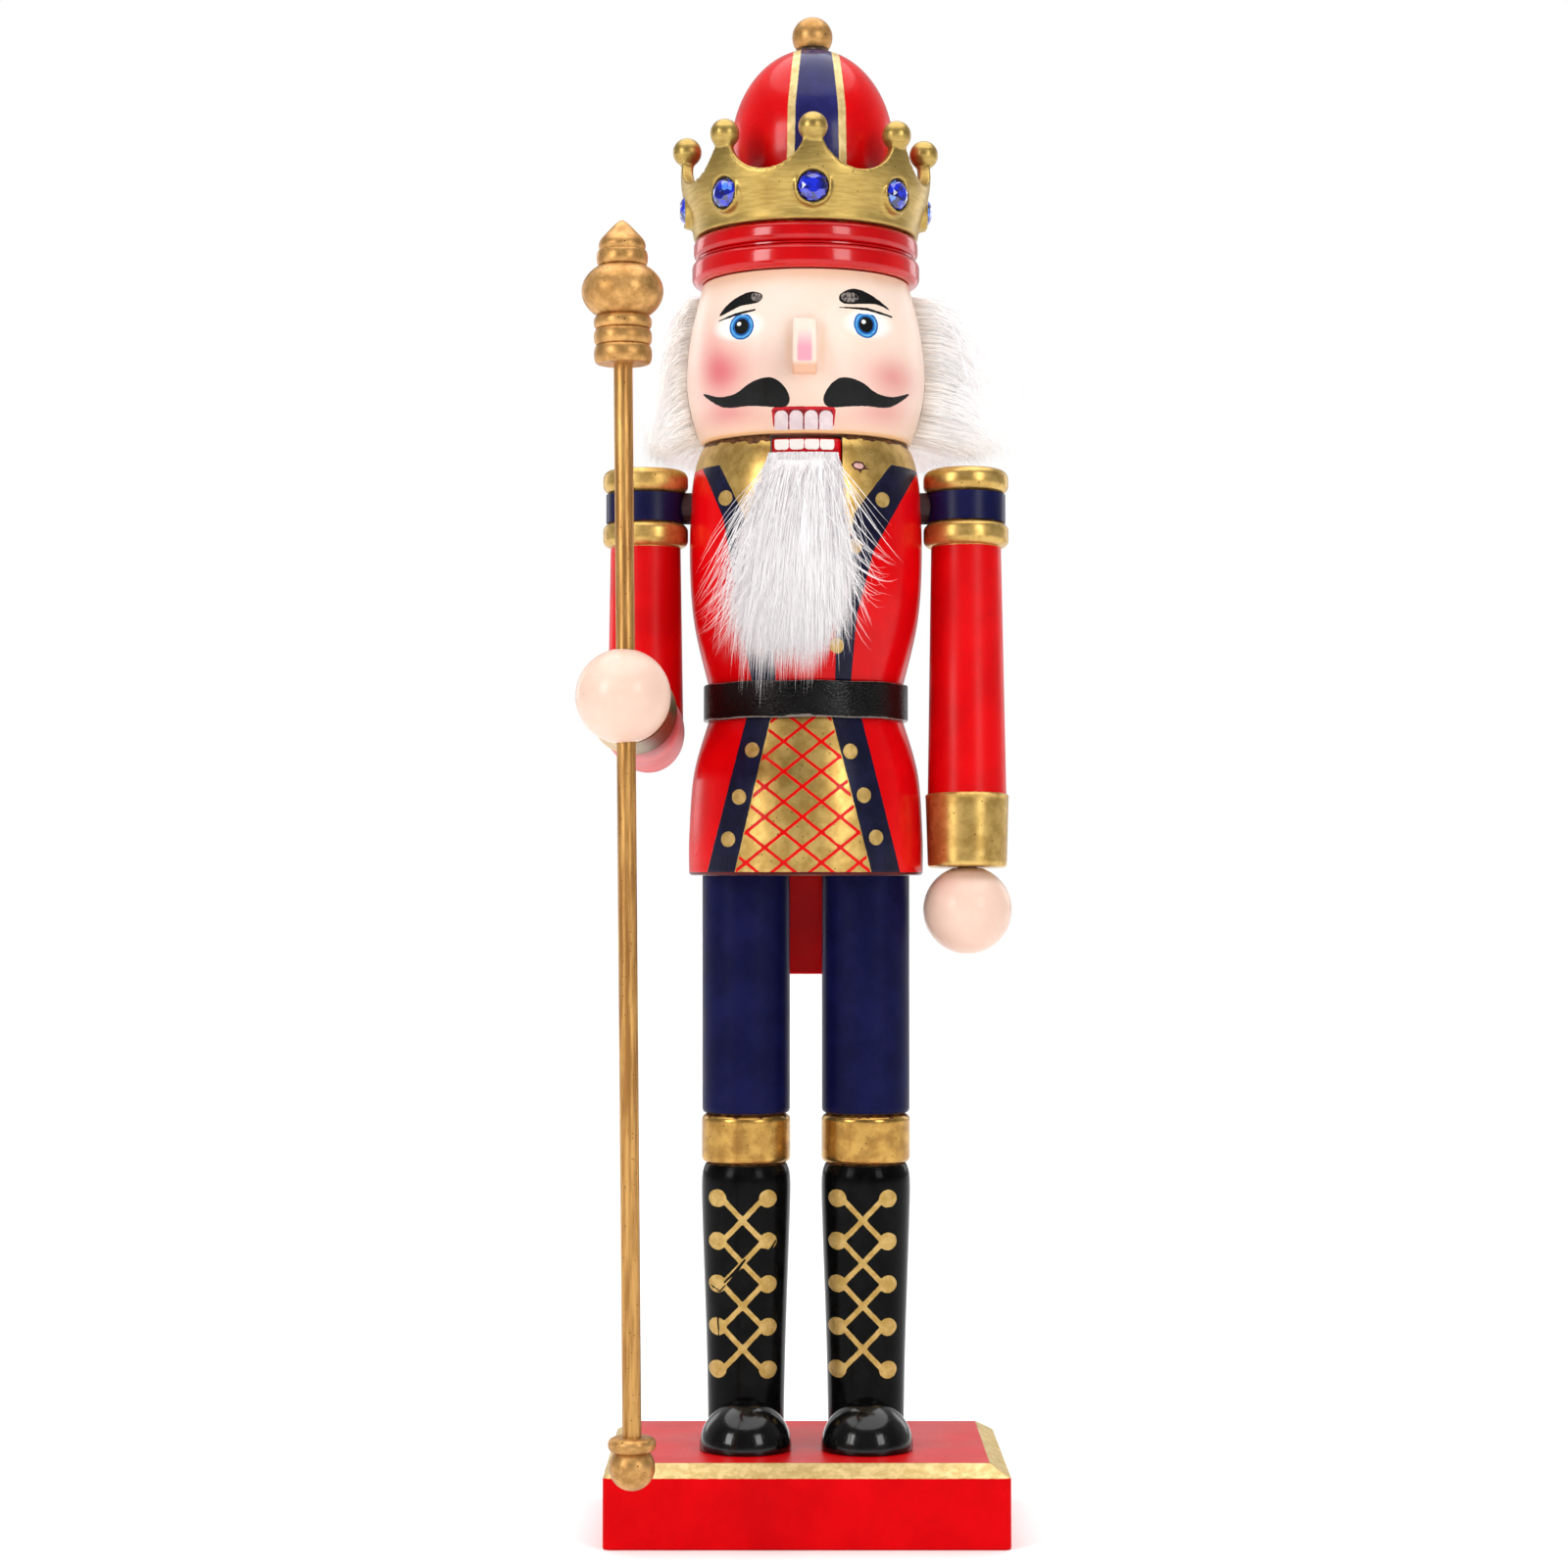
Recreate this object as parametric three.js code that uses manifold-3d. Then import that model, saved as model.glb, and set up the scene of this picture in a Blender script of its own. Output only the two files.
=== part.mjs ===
// Wooden nutcracker figure of a crowned king: turned and glued blocks on a base,
// a jaw lever with a beard, two arms on shoulder pegs and a sceptre held in one hand.
// Units are millimetres. +Z is up, the figure faces -Y, and +X is its left-hand side.
// The origin is the centre of the base block's bottom face.

import * as THREE from 'three';
import { mergeVertices } from 'three/addons/utils/BufferGeometryUtils.js';
import Module from 'manifold-3d';

const wasm = await Module();
wasm.setup();

// Driving dimensions -----------------------------------------------------------------

const GAP = 0.3; // clearance between touching pieces, and round every peg

const BASE_WIDTH = 98;
const BASE_DEPTH = 70;
const BASE_HEIGHT = 20;
const BEVEL_WIDTH = 4.7;
const BEVEL_HEIGHT = 2.8;

const LEG_X = 15;
const LEG_RADIUS = 11;
const BOOT_RADIUS = 9.4; // at the sole, where the boot is narrowest
const BOOT_TOP = 89.4;
const GARTER_TOP = 102.1;
const TOE_RADIUS = 11.4;
const TOE_HEIGHT = 12;
const TOE_Y = -11;

const SKIRT_BOTTOM = 161.5;
const SKIRT_RADIUS = 29.3;
const WAIST_BOTTOM = 199.8;
const WAIST_TOP = 209.4;
const WAIST_RADIUS = 24.2;
const CHEST_RADIUS = 29.2;
const TORSO_TOP = 269.3;
const BELT_THICKNESS = 1.1;

const SLOT_WIDTH = 17.6;
const SLOT_FLOOR = 229; // floor of the slot that runs from front to back
const SLOT_BACK_Y = 13.5; // the slot's front wall behind the legs and the skirt
const LEVER_WIDTH = 17;
const LEVER_TOP = 268.5;
const LEVER_BOTTOM = 136;
const PIVOT_Y = 2;
const PIVOT_Z = 243;
const PIVOT_RADIUS = 1.75;
const PIVOT_HALF_LENGTH = 24;

const HEAD_BOTTOM = 269.6;
const HEAD_TOP = 310;
const HEAD_RADIUS = 30;
const NOSE_WIDTH = 5.9;
const HAIR_RADIUS = 41;
const HAIR_FRONT_Y = -8;
const HAIR_TOP = 309;

const HAT_BAND_TOP = 321.7;
const HAT_BAND_RADIUS = 28.7;
const CROWN_BOTTOM = 322;
const CROWN_TOP = 342.2;
const CROWN_WALL = 3;
const CROWN_POINTS = 8;
const CROWN_TURN = 3 * Math.PI / 180;
const VALLEY_Z = 334.2;
const VALLEY_HALF_WIDTH = 9.8;
const POINT_BALL_RADIUS = 3.65;
const POINT_BALL_Z = 344.1;
const POINT_BALL_RING = 30;
const GEM_RADIUS = 3.7;
const GEM_Z = 329.4;
const DOME_RADIUS = 20.6;
const DOME_X = 1.7; // the dome and its bead are glued a little off the figure's middle
const DOME_CENTRE_Z = 345;
const DOME_TOP = 370.5;
const HAT_BEAD_RADIUS = 5.1;
const HAT_BEAD_Z = 373.8;

const ARM_X = 40.4;
const SHOULDER_Z = 254;
const SLEEVE_RADIUS = 9.85;
const EPAULETTE_RADIUS = 10.7;
const ARM_TOP = 9.5; // above the shoulder axis
const ARM_LENGTH = 90.6; // from the shoulder axis to the end of the cuff
const CUFF_LENGTH = 18.2;
const LEFT_ARM_TILT = -2.3 * Math.PI / 180;
const HAND_RADIUS = 11.05;
const HAND_OFFSET = 10.6; // from the end of a cuff to the centre of its hand bead
const ELBOW_DROP = 55.8; // from the shoulder axis down to the elbow
const FOREARM = new THREE.Vector3(-2.3, -66, 4.6); // from the elbow to the hand's centre

const ROD_RADIUS = 2.2;
const ROD_OFFSET = 0.6; // along X, from the hand's centre to the hole for the rod
const SCEPTRE_LEAN = -0.0096; // radians about Y: the foot stands nearer the middle
const SCEPTRE_UP = 110.7; // from the hand's centre to the tip
const SCEPTRE_DOWN = 182.7; // from the hand's centre to the underside of the foot

const DOWEL_RADIUS = 3;
const SHOULDER_PEG_RADIUS = 4;
const HAND_PEG_RADIUS = 2.5;

const ROUND = 32; // sides of the large turned pieces
const SLIM = 20; // sides of the limbs
const SMALL = 12; // sides of pegs and beads

// Finishes ---------------------------------------------------------------------------

const FINISHES = {
  red: { color: 0xd40a1c, roughness: 0.28, metalness: 0 },
  navy: { color: 0x15154d, roughness: 0.5, metalness: 0 },
  black: { color: 0x0b0b0d, roughness: 0.2, metalness: 0 },
  skin: { color: 0xf7dcc4, roughness: 0.3, metalness: 0 },
  gold: { color: 0xa98836, roughness: 0.4, metalness: 0.7 },
  copper: { color: 0xc08a4a, roughness: 0.4, metalness: 0.6 },
  gem: { color: 0x1430c8, roughness: 0.05, metalness: 0 },
  leather: { color: 0x121212, roughness: 0.35, metalness: 0 },
  fur: { color: 0xf4f2f0, roughness: 0.95, metalness: 0 },
  wood: { color: 0xcfae7c, roughness: 0.75, metalness: 0 },
  steel: { color: 0xb6b6ba, roughness: 0.35, metalness: 1 },
};

// Geometry helpers -------------------------------------------------------------------

function volumeOf(position, index) {
  const corners = [new THREE.Vector3(), new THREE.Vector3(), new THREE.Vector3()];
  let sum = 0;
  for (let i = 0; i < index.length; i += 3) {
    corners.forEach((corner, k) => corner.fromArray(position, 3 * index[i + k]));
    sum += corners[0].dot(corners[1].clone().cross(corners[2])) / 6;
  }
  return sum;
}

// Merges shared corners, drops the empty triangles at a pole and turns the faces outwards.
function closed(source) {
  source.deleteAttribute('normal');
  source.deleteAttribute('uv');
  const merged = mergeVertices(source, 1e-4);
  const all = merged.index.array;
  const kept = [];
  for (let i = 0; i < all.length; i += 3) {
    const [a, b, c] = all.slice(i, i + 3);
    if (a !== b && b !== c && c !== a) kept.push(a, b, c);
  }
  if (volumeOf(merged.attributes.position.array, kept) < 0) kept.reverse();
  merged.setIndex(kept);
  return merged;
}

function solidOf(geometry) {
  const merged = closed(geometry.clone());
  return new wasm.Manifold(new wasm.Mesh({
    numProp: 3,
    vertProperties: new Float32Array(merged.attributes.position.array),
    triVerts: new Uint32Array(merged.index.array),
  }));
}

function geometryOf(solid) {
  const { vertProperties, triVerts } = solid.getMesh();
  const geometry = new THREE.BufferGeometry();
  geometry.setAttribute('position', new THREE.BufferAttribute(vertProperties, 3));
  geometry.setIndex(new THREE.BufferAttribute(triVerts, 1));
  return geometry;
}

function join(body, additions) {
  return geometryOf(additions.reduce((sum, g) => sum.add(solidOf(g)), solidOf(body)));
}

function cut(body, cutters) {
  return geometryOf(cutters.reduce((rest, g) => rest.subtract(solidOf(g)), solidOf(body)));
}

// A turned piece about Z from an outline of [radius, height] points.
function turned(outline, sides) {
  const points = outline.map(([r, z]) => new THREE.Vector2(r, z));
  return new THREE.LatheGeometry(points, sides).rotateX(Math.PI / 2);
}

// A turned piece that is solid to its axis.
function turnedSolid(outline, sides) {
  const bottom = [0, outline[0][1]];
  const top = [0, outline.at(-1)[1]];
  return turned([bottom, ...outline, top], sides);
}

// A smooth outline through a few [radius, height] points.
function smooth(points, steps) {
  const curve = new THREE.SplineCurve(points.map(([r, z]) => new THREE.Vector2(r, z)));
  return curve.getPoints(steps).map((p) => [p.x, p.y]);
}

// The outline of a band with rounded edges.
function roundedBand(bottom, top, radius, corner, steps = 2) {
  const outline = [];
  for (let i = 0; i <= steps; i += 1) {
    const turn = (Math.PI / 2) * (i / steps);
    outline.push([radius - corner * (1 - Math.sin(turn)), bottom + corner * (1 - Math.cos(turn))]);
  }
  return [...outline, ...outline.map(([r, z]) => [r, top + bottom - z]).reverse()];
}

// A round rod that starts at the origin and runs along a direction.
function rod(radius, length, direction = new THREE.Vector3(0, 0, 1), sides = SMALL) {
  const rise = new THREE.Quaternion().setFromUnitVectors(new THREE.Vector3(0, 1, 0), direction);
  return new THREE.CylinderGeometry(radius, radius, length, sides)
    .translate(0, length / 2, 0)
    .applyQuaternion(rise);
}

function block([x0, y0, z0], [x1, y1, z1]) {
  return new THREE.BoxGeometry(x1 - x0, y1 - y0, z1 - z0)
    .translate((x0 + x1) / 2, (y0 + y1) / 2, (z0 + z1) / 2);
}

// A side view of [y, z] points, given a width along X about the middle plane.
function sideExtrusion(points, width) {
  const shape = new THREE.Shape(points.map(([y, z]) => new THREE.Vector2(y, z)));
  const turn = new THREE.Matrix4().makeBasis(
    new THREE.Vector3(0, 1, 0),
    new THREE.Vector3(0, 0, 1),
    new THREE.Vector3(1, 0, 0),
  );
  return new THREE.ExtrudeGeometry(shape, { depth: width, bevelEnabled: false })
    .translate(0, 0, -width / 2)
    .applyMatrix4(turn);
}

// A large cube whose face passes through a point, filling the side that a normal points to.
function halfSpace(point, normal) {
  const size = 60;
  const turn = new THREE.Quaternion().setFromUnitVectors(new THREE.Vector3(0, 0, 1), normal);
  return new THREE.BoxGeometry(size, size, size)
    .translate(0, 0, size / 2)
    .applyQuaternion(turn)
    .translate(point.x, point.y, point.z);
}

function piece(name, geometry, finish) {
  const shape = closed(geometry);
  shape.computeVertexNormals();
  const mesh = new THREE.Mesh(shape, new THREE.MeshStandardMaterial(FINISHES[finish]));
  mesh.name = name;
  return mesh;
}

function place(object, x, y, z) {
  object.position.set(x, y, z);
  return object;
}

const X_AXIS = new THREE.Vector3(1, 0, 0);
const figure = new THREE.Group();

// Base and legs ----------------------------------------------------------------------

const PEG_DEPTH = 10;

function baseBlock() {
  const across = (half) => [
    [-half, 0],
    [half, 0],
    [half, BASE_HEIGHT - BEVEL_HEIGHT],
    [half - BEVEL_WIDTH, BASE_HEIGHT],
    [BEVEL_WIDTH - half, BASE_HEIGHT],
    [-half, BASE_HEIGHT - BEVEL_HEIGHT],
  ];
  const alongX = sideExtrusion(across(BASE_DEPTH / 2), BASE_WIDTH);
  const alongY = sideExtrusion(across(BASE_WIDTH / 2), BASE_DEPTH).rotateZ(Math.PI / 2);
  const body = geometryOf(solidOf(alongX).intersect(solidOf(alongY)));
  const holes = [-LEG_X, LEG_X].map((x) => rod(DOWEL_RADIUS + GAP, 2 * PEG_DEPTH)
    .translate(x, 0, BASE_HEIGHT - PEG_DEPTH - GAP));
  return cut(body, holes);
}

const LEG_BOTTOM = BASE_HEIGHT + GAP;
const LEG_TOP = SKIRT_BOTTOM - GAP;

function leg() {
  const groove = 0.9;
  const boot = smooth([
    [BOOT_RADIUS, LEG_BOTTOM],
    [BOOT_RADIUS + 0.5, 45],
    [BOOT_RADIUS + 1.5, 74],
    [BOOT_RADIUS + 1.7, BOOT_TOP - 4],
    [LEG_RADIUS - groove, BOOT_TOP],
  ], 6);
  const garter = roundedBand(BOOT_TOP + 0.3, GARTER_TOP - 0.3, LEG_RADIUS + 0.1, 1.4);
  const trousers = [
    [LEG_RADIUS - groove, GARTER_TOP],
    [LEG_RADIUS, GARTER_TOP + 1.2],
    [LEG_RADIUS, LEG_TOP],
  ];
  const body = turnedSolid([...boot, ...garter, ...trousers], SLIM);
  const hole = rod(DOWEL_RADIUS + GAP, PEG_DEPTH + 1);
  return cut(body, [
    hole.clone().translate(0, 0, LEG_BOTTOM - 1),
    hole.clone().translate(0, 0, LEG_TOP - PEG_DEPTH),
  ]);
}

function toeCap() {
  const ball = new THREE.SphereGeometry(TOE_RADIUS, 20, 12)
    .scale(1, 1, TOE_HEIGHT / TOE_RADIUS)
    .translate(0, TOE_Y, LEG_BOTTOM);
  return cut(ball, [
    block([-20, -40, 0], [20, 20, LEG_BOTTOM]),
    rod(BOOT_RADIUS + 2 * GAP, 30, undefined, SLIM).translate(0, 0, LEG_BOTTOM - 5),
  ]);
}

function legPeg(bottom) {
  return rod(DOWEL_RADIUS, 2 * PEG_DEPTH).translate(0, 0, bottom - PEG_DEPTH);
}

figure.add(piece('base_block', baseBlock(), 'red'));
for (const [side, x] of [['left', LEG_X], ['right', -LEG_X]]) {
  const limb = place(new THREE.Group(), x, 0, 0);
  limb.add(piece(`leg_${side}`, leg(), 'navy'));
  limb.add(piece(`toe_cap_${side}`, toeCap(), 'black'));
  limb.add(piece(`ankle_peg_${side}`, legPeg(BASE_HEIGHT), 'wood'));
  limb.add(piece(`hip_peg_${side}`, legPeg(SKIRT_BOTTOM), 'wood'));
  figure.add(limb);
}

// Torso, belt and jaw lever ----------------------------------------------------------

const NECK_PEG_X = 15;
const NECK_PEG_Y = 6;
const NECK_PEG_BOTTOM = 260;
const NECK_PEG_LENGTH = 20;
const SHOULDER_PEG_START = 17;

function torso() {
  const skirt = smooth([
    [SKIRT_RADIUS, SKIRT_BOTTOM + 1],
    [SKIRT_RADIUS, 172],
    [SKIRT_RADIUS - 1.1, 187],
    [WAIST_RADIUS + 0.4, WAIST_BOTTOM],
  ], 6);
  const chest = smooth([
    [WAIST_RADIUS + 0.4, WAIST_TOP],
    [CHEST_RADIUS - 1.1, 224.5],
    [CHEST_RADIUS, 239],
    [CHEST_RADIUS - 0.3, 256],
    [CHEST_RADIUS - 1.6, 265],
    [CHEST_RADIUS - 3.4, TORSO_TOP],
  ], 9);
  const waist = [[WAIST_RADIUS, WAIST_BOTTOM + 0.1], [WAIST_RADIUS, WAIST_TOP - 0.1]];
  const rim = [SKIRT_RADIUS - 0.8, SKIRT_BOTTOM];
  const body = turnedSolid([rim, ...skirt, ...waist, ...chest], ROUND);
  const half = SLOT_WIDTH / 2;
  const cutters = [
    block([-half, -40, SLOT_FLOOR], [half, 40, TORSO_TOP + 5]),
    block([-half, SLOT_BACK_Y, SKIRT_BOTTOM - 5], [half, 40, TORSO_TOP + 5]),
    rod(PIVOT_RADIUS + GAP, 2 * (PIVOT_HALF_LENGTH + GAP), X_AXIS)
      .translate(-PIVOT_HALF_LENGTH - GAP, PIVOT_Y, PIVOT_Z),
  ];
  const length = 20; // enough for any of the peg holes to pass out through the surface
  for (const side of [-1, 1]) {
    const middle = side * (SHOULDER_PEG_START - GAP + length / 2);
    cutters.push(
      rod(SHOULDER_PEG_RADIUS + GAP, length, X_AXIS)
        .translate(middle - length / 2, 0, SHOULDER_Z),
      rod(DOWEL_RADIUS + GAP, length)
        .translate(side * NECK_PEG_X, NECK_PEG_Y, NECK_PEG_BOTTOM - GAP),
      rod(DOWEL_RADIUS + GAP, length)
        .translate(side * LEG_X, 0, SKIRT_BOTTOM + PEG_DEPTH + GAP - length),
    );
  }
  return cut(body, cutters);
}

// A strap round the waist whose two ends stop at the lever's slot.
function belt() {
  const inner = WAIST_RADIUS + GAP;
  const outer = inner + BELT_THICKNESS;
  const [bottom, top] = [WAIST_BOTTOM + GAP, WAIST_TOP - GAP];
  const strap = turned([
    [inner, bottom],
    [outer - 0.3, bottom],
    [outer, bottom + 0.4],
    [outer, top - 0.4],
    [outer - 0.3, top],
    [inner, top],
    [inner, bottom],
  ], ROUND);
  const half = SLOT_WIDTH / 2 + 0.4;
  return cut(strap, [block([-half, 0, bottom - 5], [half, 40, top + 5])]);
}

// The jaw is the front end of one lever: it crosses the chest and hangs down behind as a tail.
function jawLever() {
  const front = smooth([[-25.8, LEVER_TOP], [-27.4, 263], [-27.8, 252], [-26.6, 240.5]], 6);
  const underside = [[-10, 236], [8, 234], [SLOT_BACK_Y + 0.4, 231]];
  const tailFront = smooth([
    [SLOT_BACK_Y + 0.4, 225],
    [SLOT_BACK_Y + 0.6, 190],
    [SLOT_BACK_Y + 2.5, 158],
    [SLOT_BACK_Y + 7, LEVER_BOTTOM],
  ], 6);
  const tailBack = smooth([
    [32.5, LEVER_BOTTOM + 1],
    [30.5, 160],
    [29, 190],
    [29, 222],
    [28.5, 250],
    [25.5, 263],
  ], 9);
  const outline = [...front, ...underside, ...tailFront, ...tailBack, [PIVOT_Y, LEVER_TOP]];
  return cut(sideExtrusion(outline, LEVER_WIDTH), [
    rod(PIVOT_RADIUS + GAP, 40, X_AXIS).translate(-20, PIVOT_Y, PIVOT_Z),
  ]);
}

function pivotPin() {
  return rod(PIVOT_RADIUS, 2 * PIVOT_HALF_LENGTH, X_AXIS)
    .translate(-PIVOT_HALF_LENGTH, PIVOT_Y, PIVOT_Z);
}

const BEARD_SIDES = 16;
const BEARD_FLATNESS = 0.36; // its depth against its width
const BEARD_LEAN = 0.18; // how far it comes forward for each millimetre that it falls
const BEARD_Y = -32.2; // the middle of its top

// The beard hangs from the front of the jaw, a little further forward towards its tip.
function beard() {
  const [top, tip] = [264.5, 208];
  const widths = [[1.5, tip], [7, 214], [12, 225], [14.6, 240], [13, 254], [9, top]];
  const lean = new THREE.Matrix4().makeShear(0, 0, 0, 0, 0, BEARD_LEAN);
  return turnedSolid(smooth(widths, 9), BEARD_SIDES)
    .scale(1, BEARD_FLATNESS, 1)
    .translate(0, 0, -top)
    .applyMatrix4(lean)
    .translate(0, BEARD_Y, top);
}

figure.add(piece('torso', torso(), 'red'));
figure.add(piece('belt', belt(), 'leather'));
figure.add(piece('jaw_lever', jawLever(), 'red'));
figure.add(piece('lever_pivot_pin', pivotPin(), 'steel'));
figure.add(piece('beard', beard(), 'fur'));

// Head, nose and hair ----------------------------------------------------------------

const HAT_PEG_RADIUS = 4;
const HAT_PEG_BOTTOM = 300;
const HAT_PEG_LENGTH = 32;

function headOutline(spread) {
  return smooth([
    [HEAD_RADIUS - 3.8 + spread, HEAD_BOTTOM],
    [HEAD_RADIUS - 1 + spread, 278],
    [HEAD_RADIUS + spread, 287],
    [HEAD_RADIUS - 1.2 + spread, 298.5],
    [HEAD_RADIUS - 4 + spread, HEAD_TOP],
  ], 8);
}

function head() {
  const holes = [-NECK_PEG_X, NECK_PEG_X].map((x) => rod(DOWEL_RADIUS + GAP, NECK_PEG_LENGTH)
    .translate(x, NECK_PEG_Y, NECK_PEG_BOTTOM + GAP));
  holes.push(rod(HAT_PEG_RADIUS + GAP, 20).translate(0, 0, HAT_PEG_BOTTOM - GAP));
  return cut(turnedSolid(headOutline(0), ROUND), holes);
}

function nose() {
  return sideExtrusion([
    [-HEAD_RADIUS - GAP, 283.4],
    [-HEAD_RADIUS - 5.2, 283],
    [-HEAD_RADIUS - 5.6, 285],
    [-HEAD_RADIUS - 1.6, 297],
    [-HEAD_RADIUS - GAP, 297],
  ], NOSE_WIDTH);
}

// A thick ring of hair round the head, open across the face.
function hair() {
  const inside = headOutline(2 * GAP).filter(([, z]) => z < HAIR_TOP);
  const outside = smooth([
    [HAIR_RADIUS - 5, HEAD_BOTTOM + 0.2],
    [HAIR_RADIUS, 283],
    [HAIR_RADIUS - 2, 297],
    [HEAD_RADIUS, HAIR_TOP],
  ], 6);
  const ring = turned([...outside, ...inside.reverse(), outside[0]], ROUND);
  return cut(ring, [block([-60, -60, 250], [60, HAIR_FRONT_Y, 330])]);
}

figure.add(piece('head_block', head(), 'skin'));
figure.add(piece('nose', nose(), 'skin'));
figure.add(piece('hair', hair(), 'fur'));
for (const [side, x] of [['left', NECK_PEG_X], ['right', -NECK_PEG_X]]) {
  const peg = piece(`neck_peg_${side}`, rod(DOWEL_RADIUS, NECK_PEG_LENGTH), 'wood');
  figure.add(place(peg, x, NECK_PEG_Y, NECK_PEG_BOTTOM));
}

// Hat and crown ----------------------------------------------------------------------

function hatBand() {
  const middle = 316.4;
  const lower = roundedBand(HEAD_TOP + GAP, middle - 0.3, HAT_BAND_RADIUS, 1.6);
  const upper = roundedBand(middle + 0.3, HAT_BAND_TOP, HAT_BAND_RADIUS - 0.4, 1.6);
  const body = turnedSolid([...lower, ...upper], ROUND);
  return cut(body, [rod(HAT_PEG_RADIUS + GAP, 30).translate(0, 0, HEAD_TOP - 5)]);
}

// Pieces on the crown are placed at equal angles, the first one in front.
function aroundCrown(step, make) {
  const turn = Math.PI * 2 / CROWN_POINTS;
  return Array.from({ length: CROWN_POINTS }, (_, i) => make(CROWN_TURN + turn * (i + step)));
}

const GEM_SEAT = 29.2; // radius of the flat seat behind a gem
const GEM_RIM = 0.9; // wall of the raised ring round a gem
const GEM_SIDES = 10;

function crown() {
  const outside = smooth([
    [28.3, CROWN_BOTTOM],
    [28.9, 325.5],
    [30.9, 332],
    [31.6, 337.5],
    [31.2, CROWN_TOP],
  ], 5);
  const inside = outside.map(([r, z]) => [r - CROWN_WALL, z]).reverse();
  const wall = turned([...outside, ...inside, outside[0]], ROUND);
  const centre = CROWN_TOP + 1;
  const dip = new THREE.Shape()
    .absellipse(0, centre, VALLEY_HALF_WIDTH, centre - VALLEY_Z, 0, Math.PI * 2);
  const valleys = aroundCrown(0.5, (angle) => new THREE.ExtrudeGeometry(dip, {
    depth: 24, bevelEnabled: false, curveSegments: 9,
  })
    .rotateX(Math.PI / 2)
    .translate(0, -16, 0)
    .rotateZ(angle));
  const balls = aroundCrown(0, (angle) => new THREE.SphereGeometry(POINT_BALL_RADIUS, 9, 6)
    .rotateX(Math.PI / 2)
    .translate(0, -POINT_BALL_RING, POINT_BALL_Z)
    .rotateZ(angle));
  const outwards = new THREE.Vector3(0, -1, 0);
  const rims = aroundCrown(0, (angle) => rod(GEM_RADIUS + GAP + GEM_RIM, 3.2, outwards)
    .translate(0, -28, GEM_Z)
    .rotateZ(angle));
  const seats = aroundCrown(0, (angle) => rod(GEM_RADIUS + GAP, 6, outwards)
    .translate(0, -GEM_SEAT, GEM_Z)
    .rotateZ(angle));
  return cut(join(cut(wall, valleys), [...balls, ...rims]), seats);
}

// A cut stone: a flat table, a sloped ring of facets and a short straight girdle.
function gem() {
  return turnedSolid([
    [GEM_RADIUS, 0],
    [GEM_RADIUS, 0.9],
    [GEM_RADIUS * 0.78, 1.9],
    [GEM_RADIUS * 0.5, 2.3],
  ], GEM_SIDES).rotateX(Math.PI / 2);
}

const BEAD_PIN_RADIUS = 1.2;
const BEAD_PIN_BOTTOM = 364;
const BEAD_PIN_LENGTH = 10;

function dome() {
  const rise = DOME_TOP - DOME_CENTRE_Z;
  const steps = 8;
  const outline = [[DOME_RADIUS - 1.6, CROWN_BOTTOM], [DOME_RADIUS - 0.6, 333]];
  for (let step = 0; step < steps; step += 1) {
    const angle = (Math.PI / 2) * (step / steps);
    outline.push([DOME_RADIUS * Math.cos(angle), DOME_CENTRE_Z + rise * Math.sin(angle)]);
  }
  const body = turnedSolid([...outline, [1, DOME_TOP]], ROUND).translate(DOME_X, 0, 0);
  return cut(body, [
    rod(HAT_PEG_RADIUS + GAP, 20).translate(0, 0, HAT_PEG_BOTTOM + HAT_PEG_LENGTH + GAP - 20),
    rod(BEAD_PIN_RADIUS + GAP, 20).translate(DOME_X, 0, BEAD_PIN_BOTTOM - GAP),
  ]);
}

function hatBead() {
  const ball = new THREE.SphereGeometry(HAT_BEAD_RADIUS, 16, 10)
    .rotateX(Math.PI / 2)
    .translate(0, 0, HAT_BEAD_Z);
  return cut(ball, [
    block([-10, -10, 350], [10, 10, DOME_TOP + GAP]),
    rod(BEAD_PIN_RADIUS + GAP, BEAD_PIN_LENGTH).translate(0, 0, BEAD_PIN_BOTTOM + GAP),
  ]);
}

figure.add(piece('hat_band', hatBand(), 'red'));
const hatPeg = piece('hat_peg', rod(HAT_PEG_RADIUS, HAT_PEG_LENGTH), 'wood');
figure.add(place(hatPeg, 0, 0, HAT_PEG_BOTTOM));
figure.add(piece('crown', crown(), 'gold'));
figure.add(piece('hat_dome', dome(), 'red'));
const beadPin = piece('bead_pin', rod(BEAD_PIN_RADIUS, BEAD_PIN_LENGTH), 'steel');
figure.add(place(beadPin, DOME_X, 0, BEAD_PIN_BOTTOM));
figure.add(place(piece('hat_bead', hatBead(), 'gold'), DOME_X, 0, 0));
aroundCrown(0, (angle) => angle).forEach((angle, i) => {
  const spoke = new THREE.Group();
  spoke.rotation.z = angle;
  spoke.add(place(piece(`gem_${i + 1}`, gem(), 'gem'), 0, -GEM_SEAT - GAP, GEM_Z));
  figure.add(spoke);
});

// Arms, measured from the shoulder axis ----------------------------------------------

const HAND_PEG_DEPTH = 6;
const shoulderHole = () => rod(SHOULDER_PEG_RADIUS + GAP, 14, X_AXIS);

function epaulette() {
  return [
    ...roundedBand(-10, -4, EPAULETTE_RADIUS, 1.6),
    [SLEEVE_RADIUS + 0.1, -3.9],
    [SLEEVE_RADIUS + 0.1, 3.4],
    ...roundedBand(3.5, ARM_TOP, EPAULETTE_RADIUS, 1.6),
  ];
}

// The cuff widens a little towards the sleeve. It ends at the given distance from the origin.
function cuff(end) {
  return [
    [9.5, end],
    [9.9, end + 0.5],
    [10.5, end + CUFF_LENGTH - 0.5],
    [10.2, end + CUFF_LENGTH],
    [SLEEVE_RADIUS, end + CUFF_LENGTH + 0.1],
  ];
}

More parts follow.
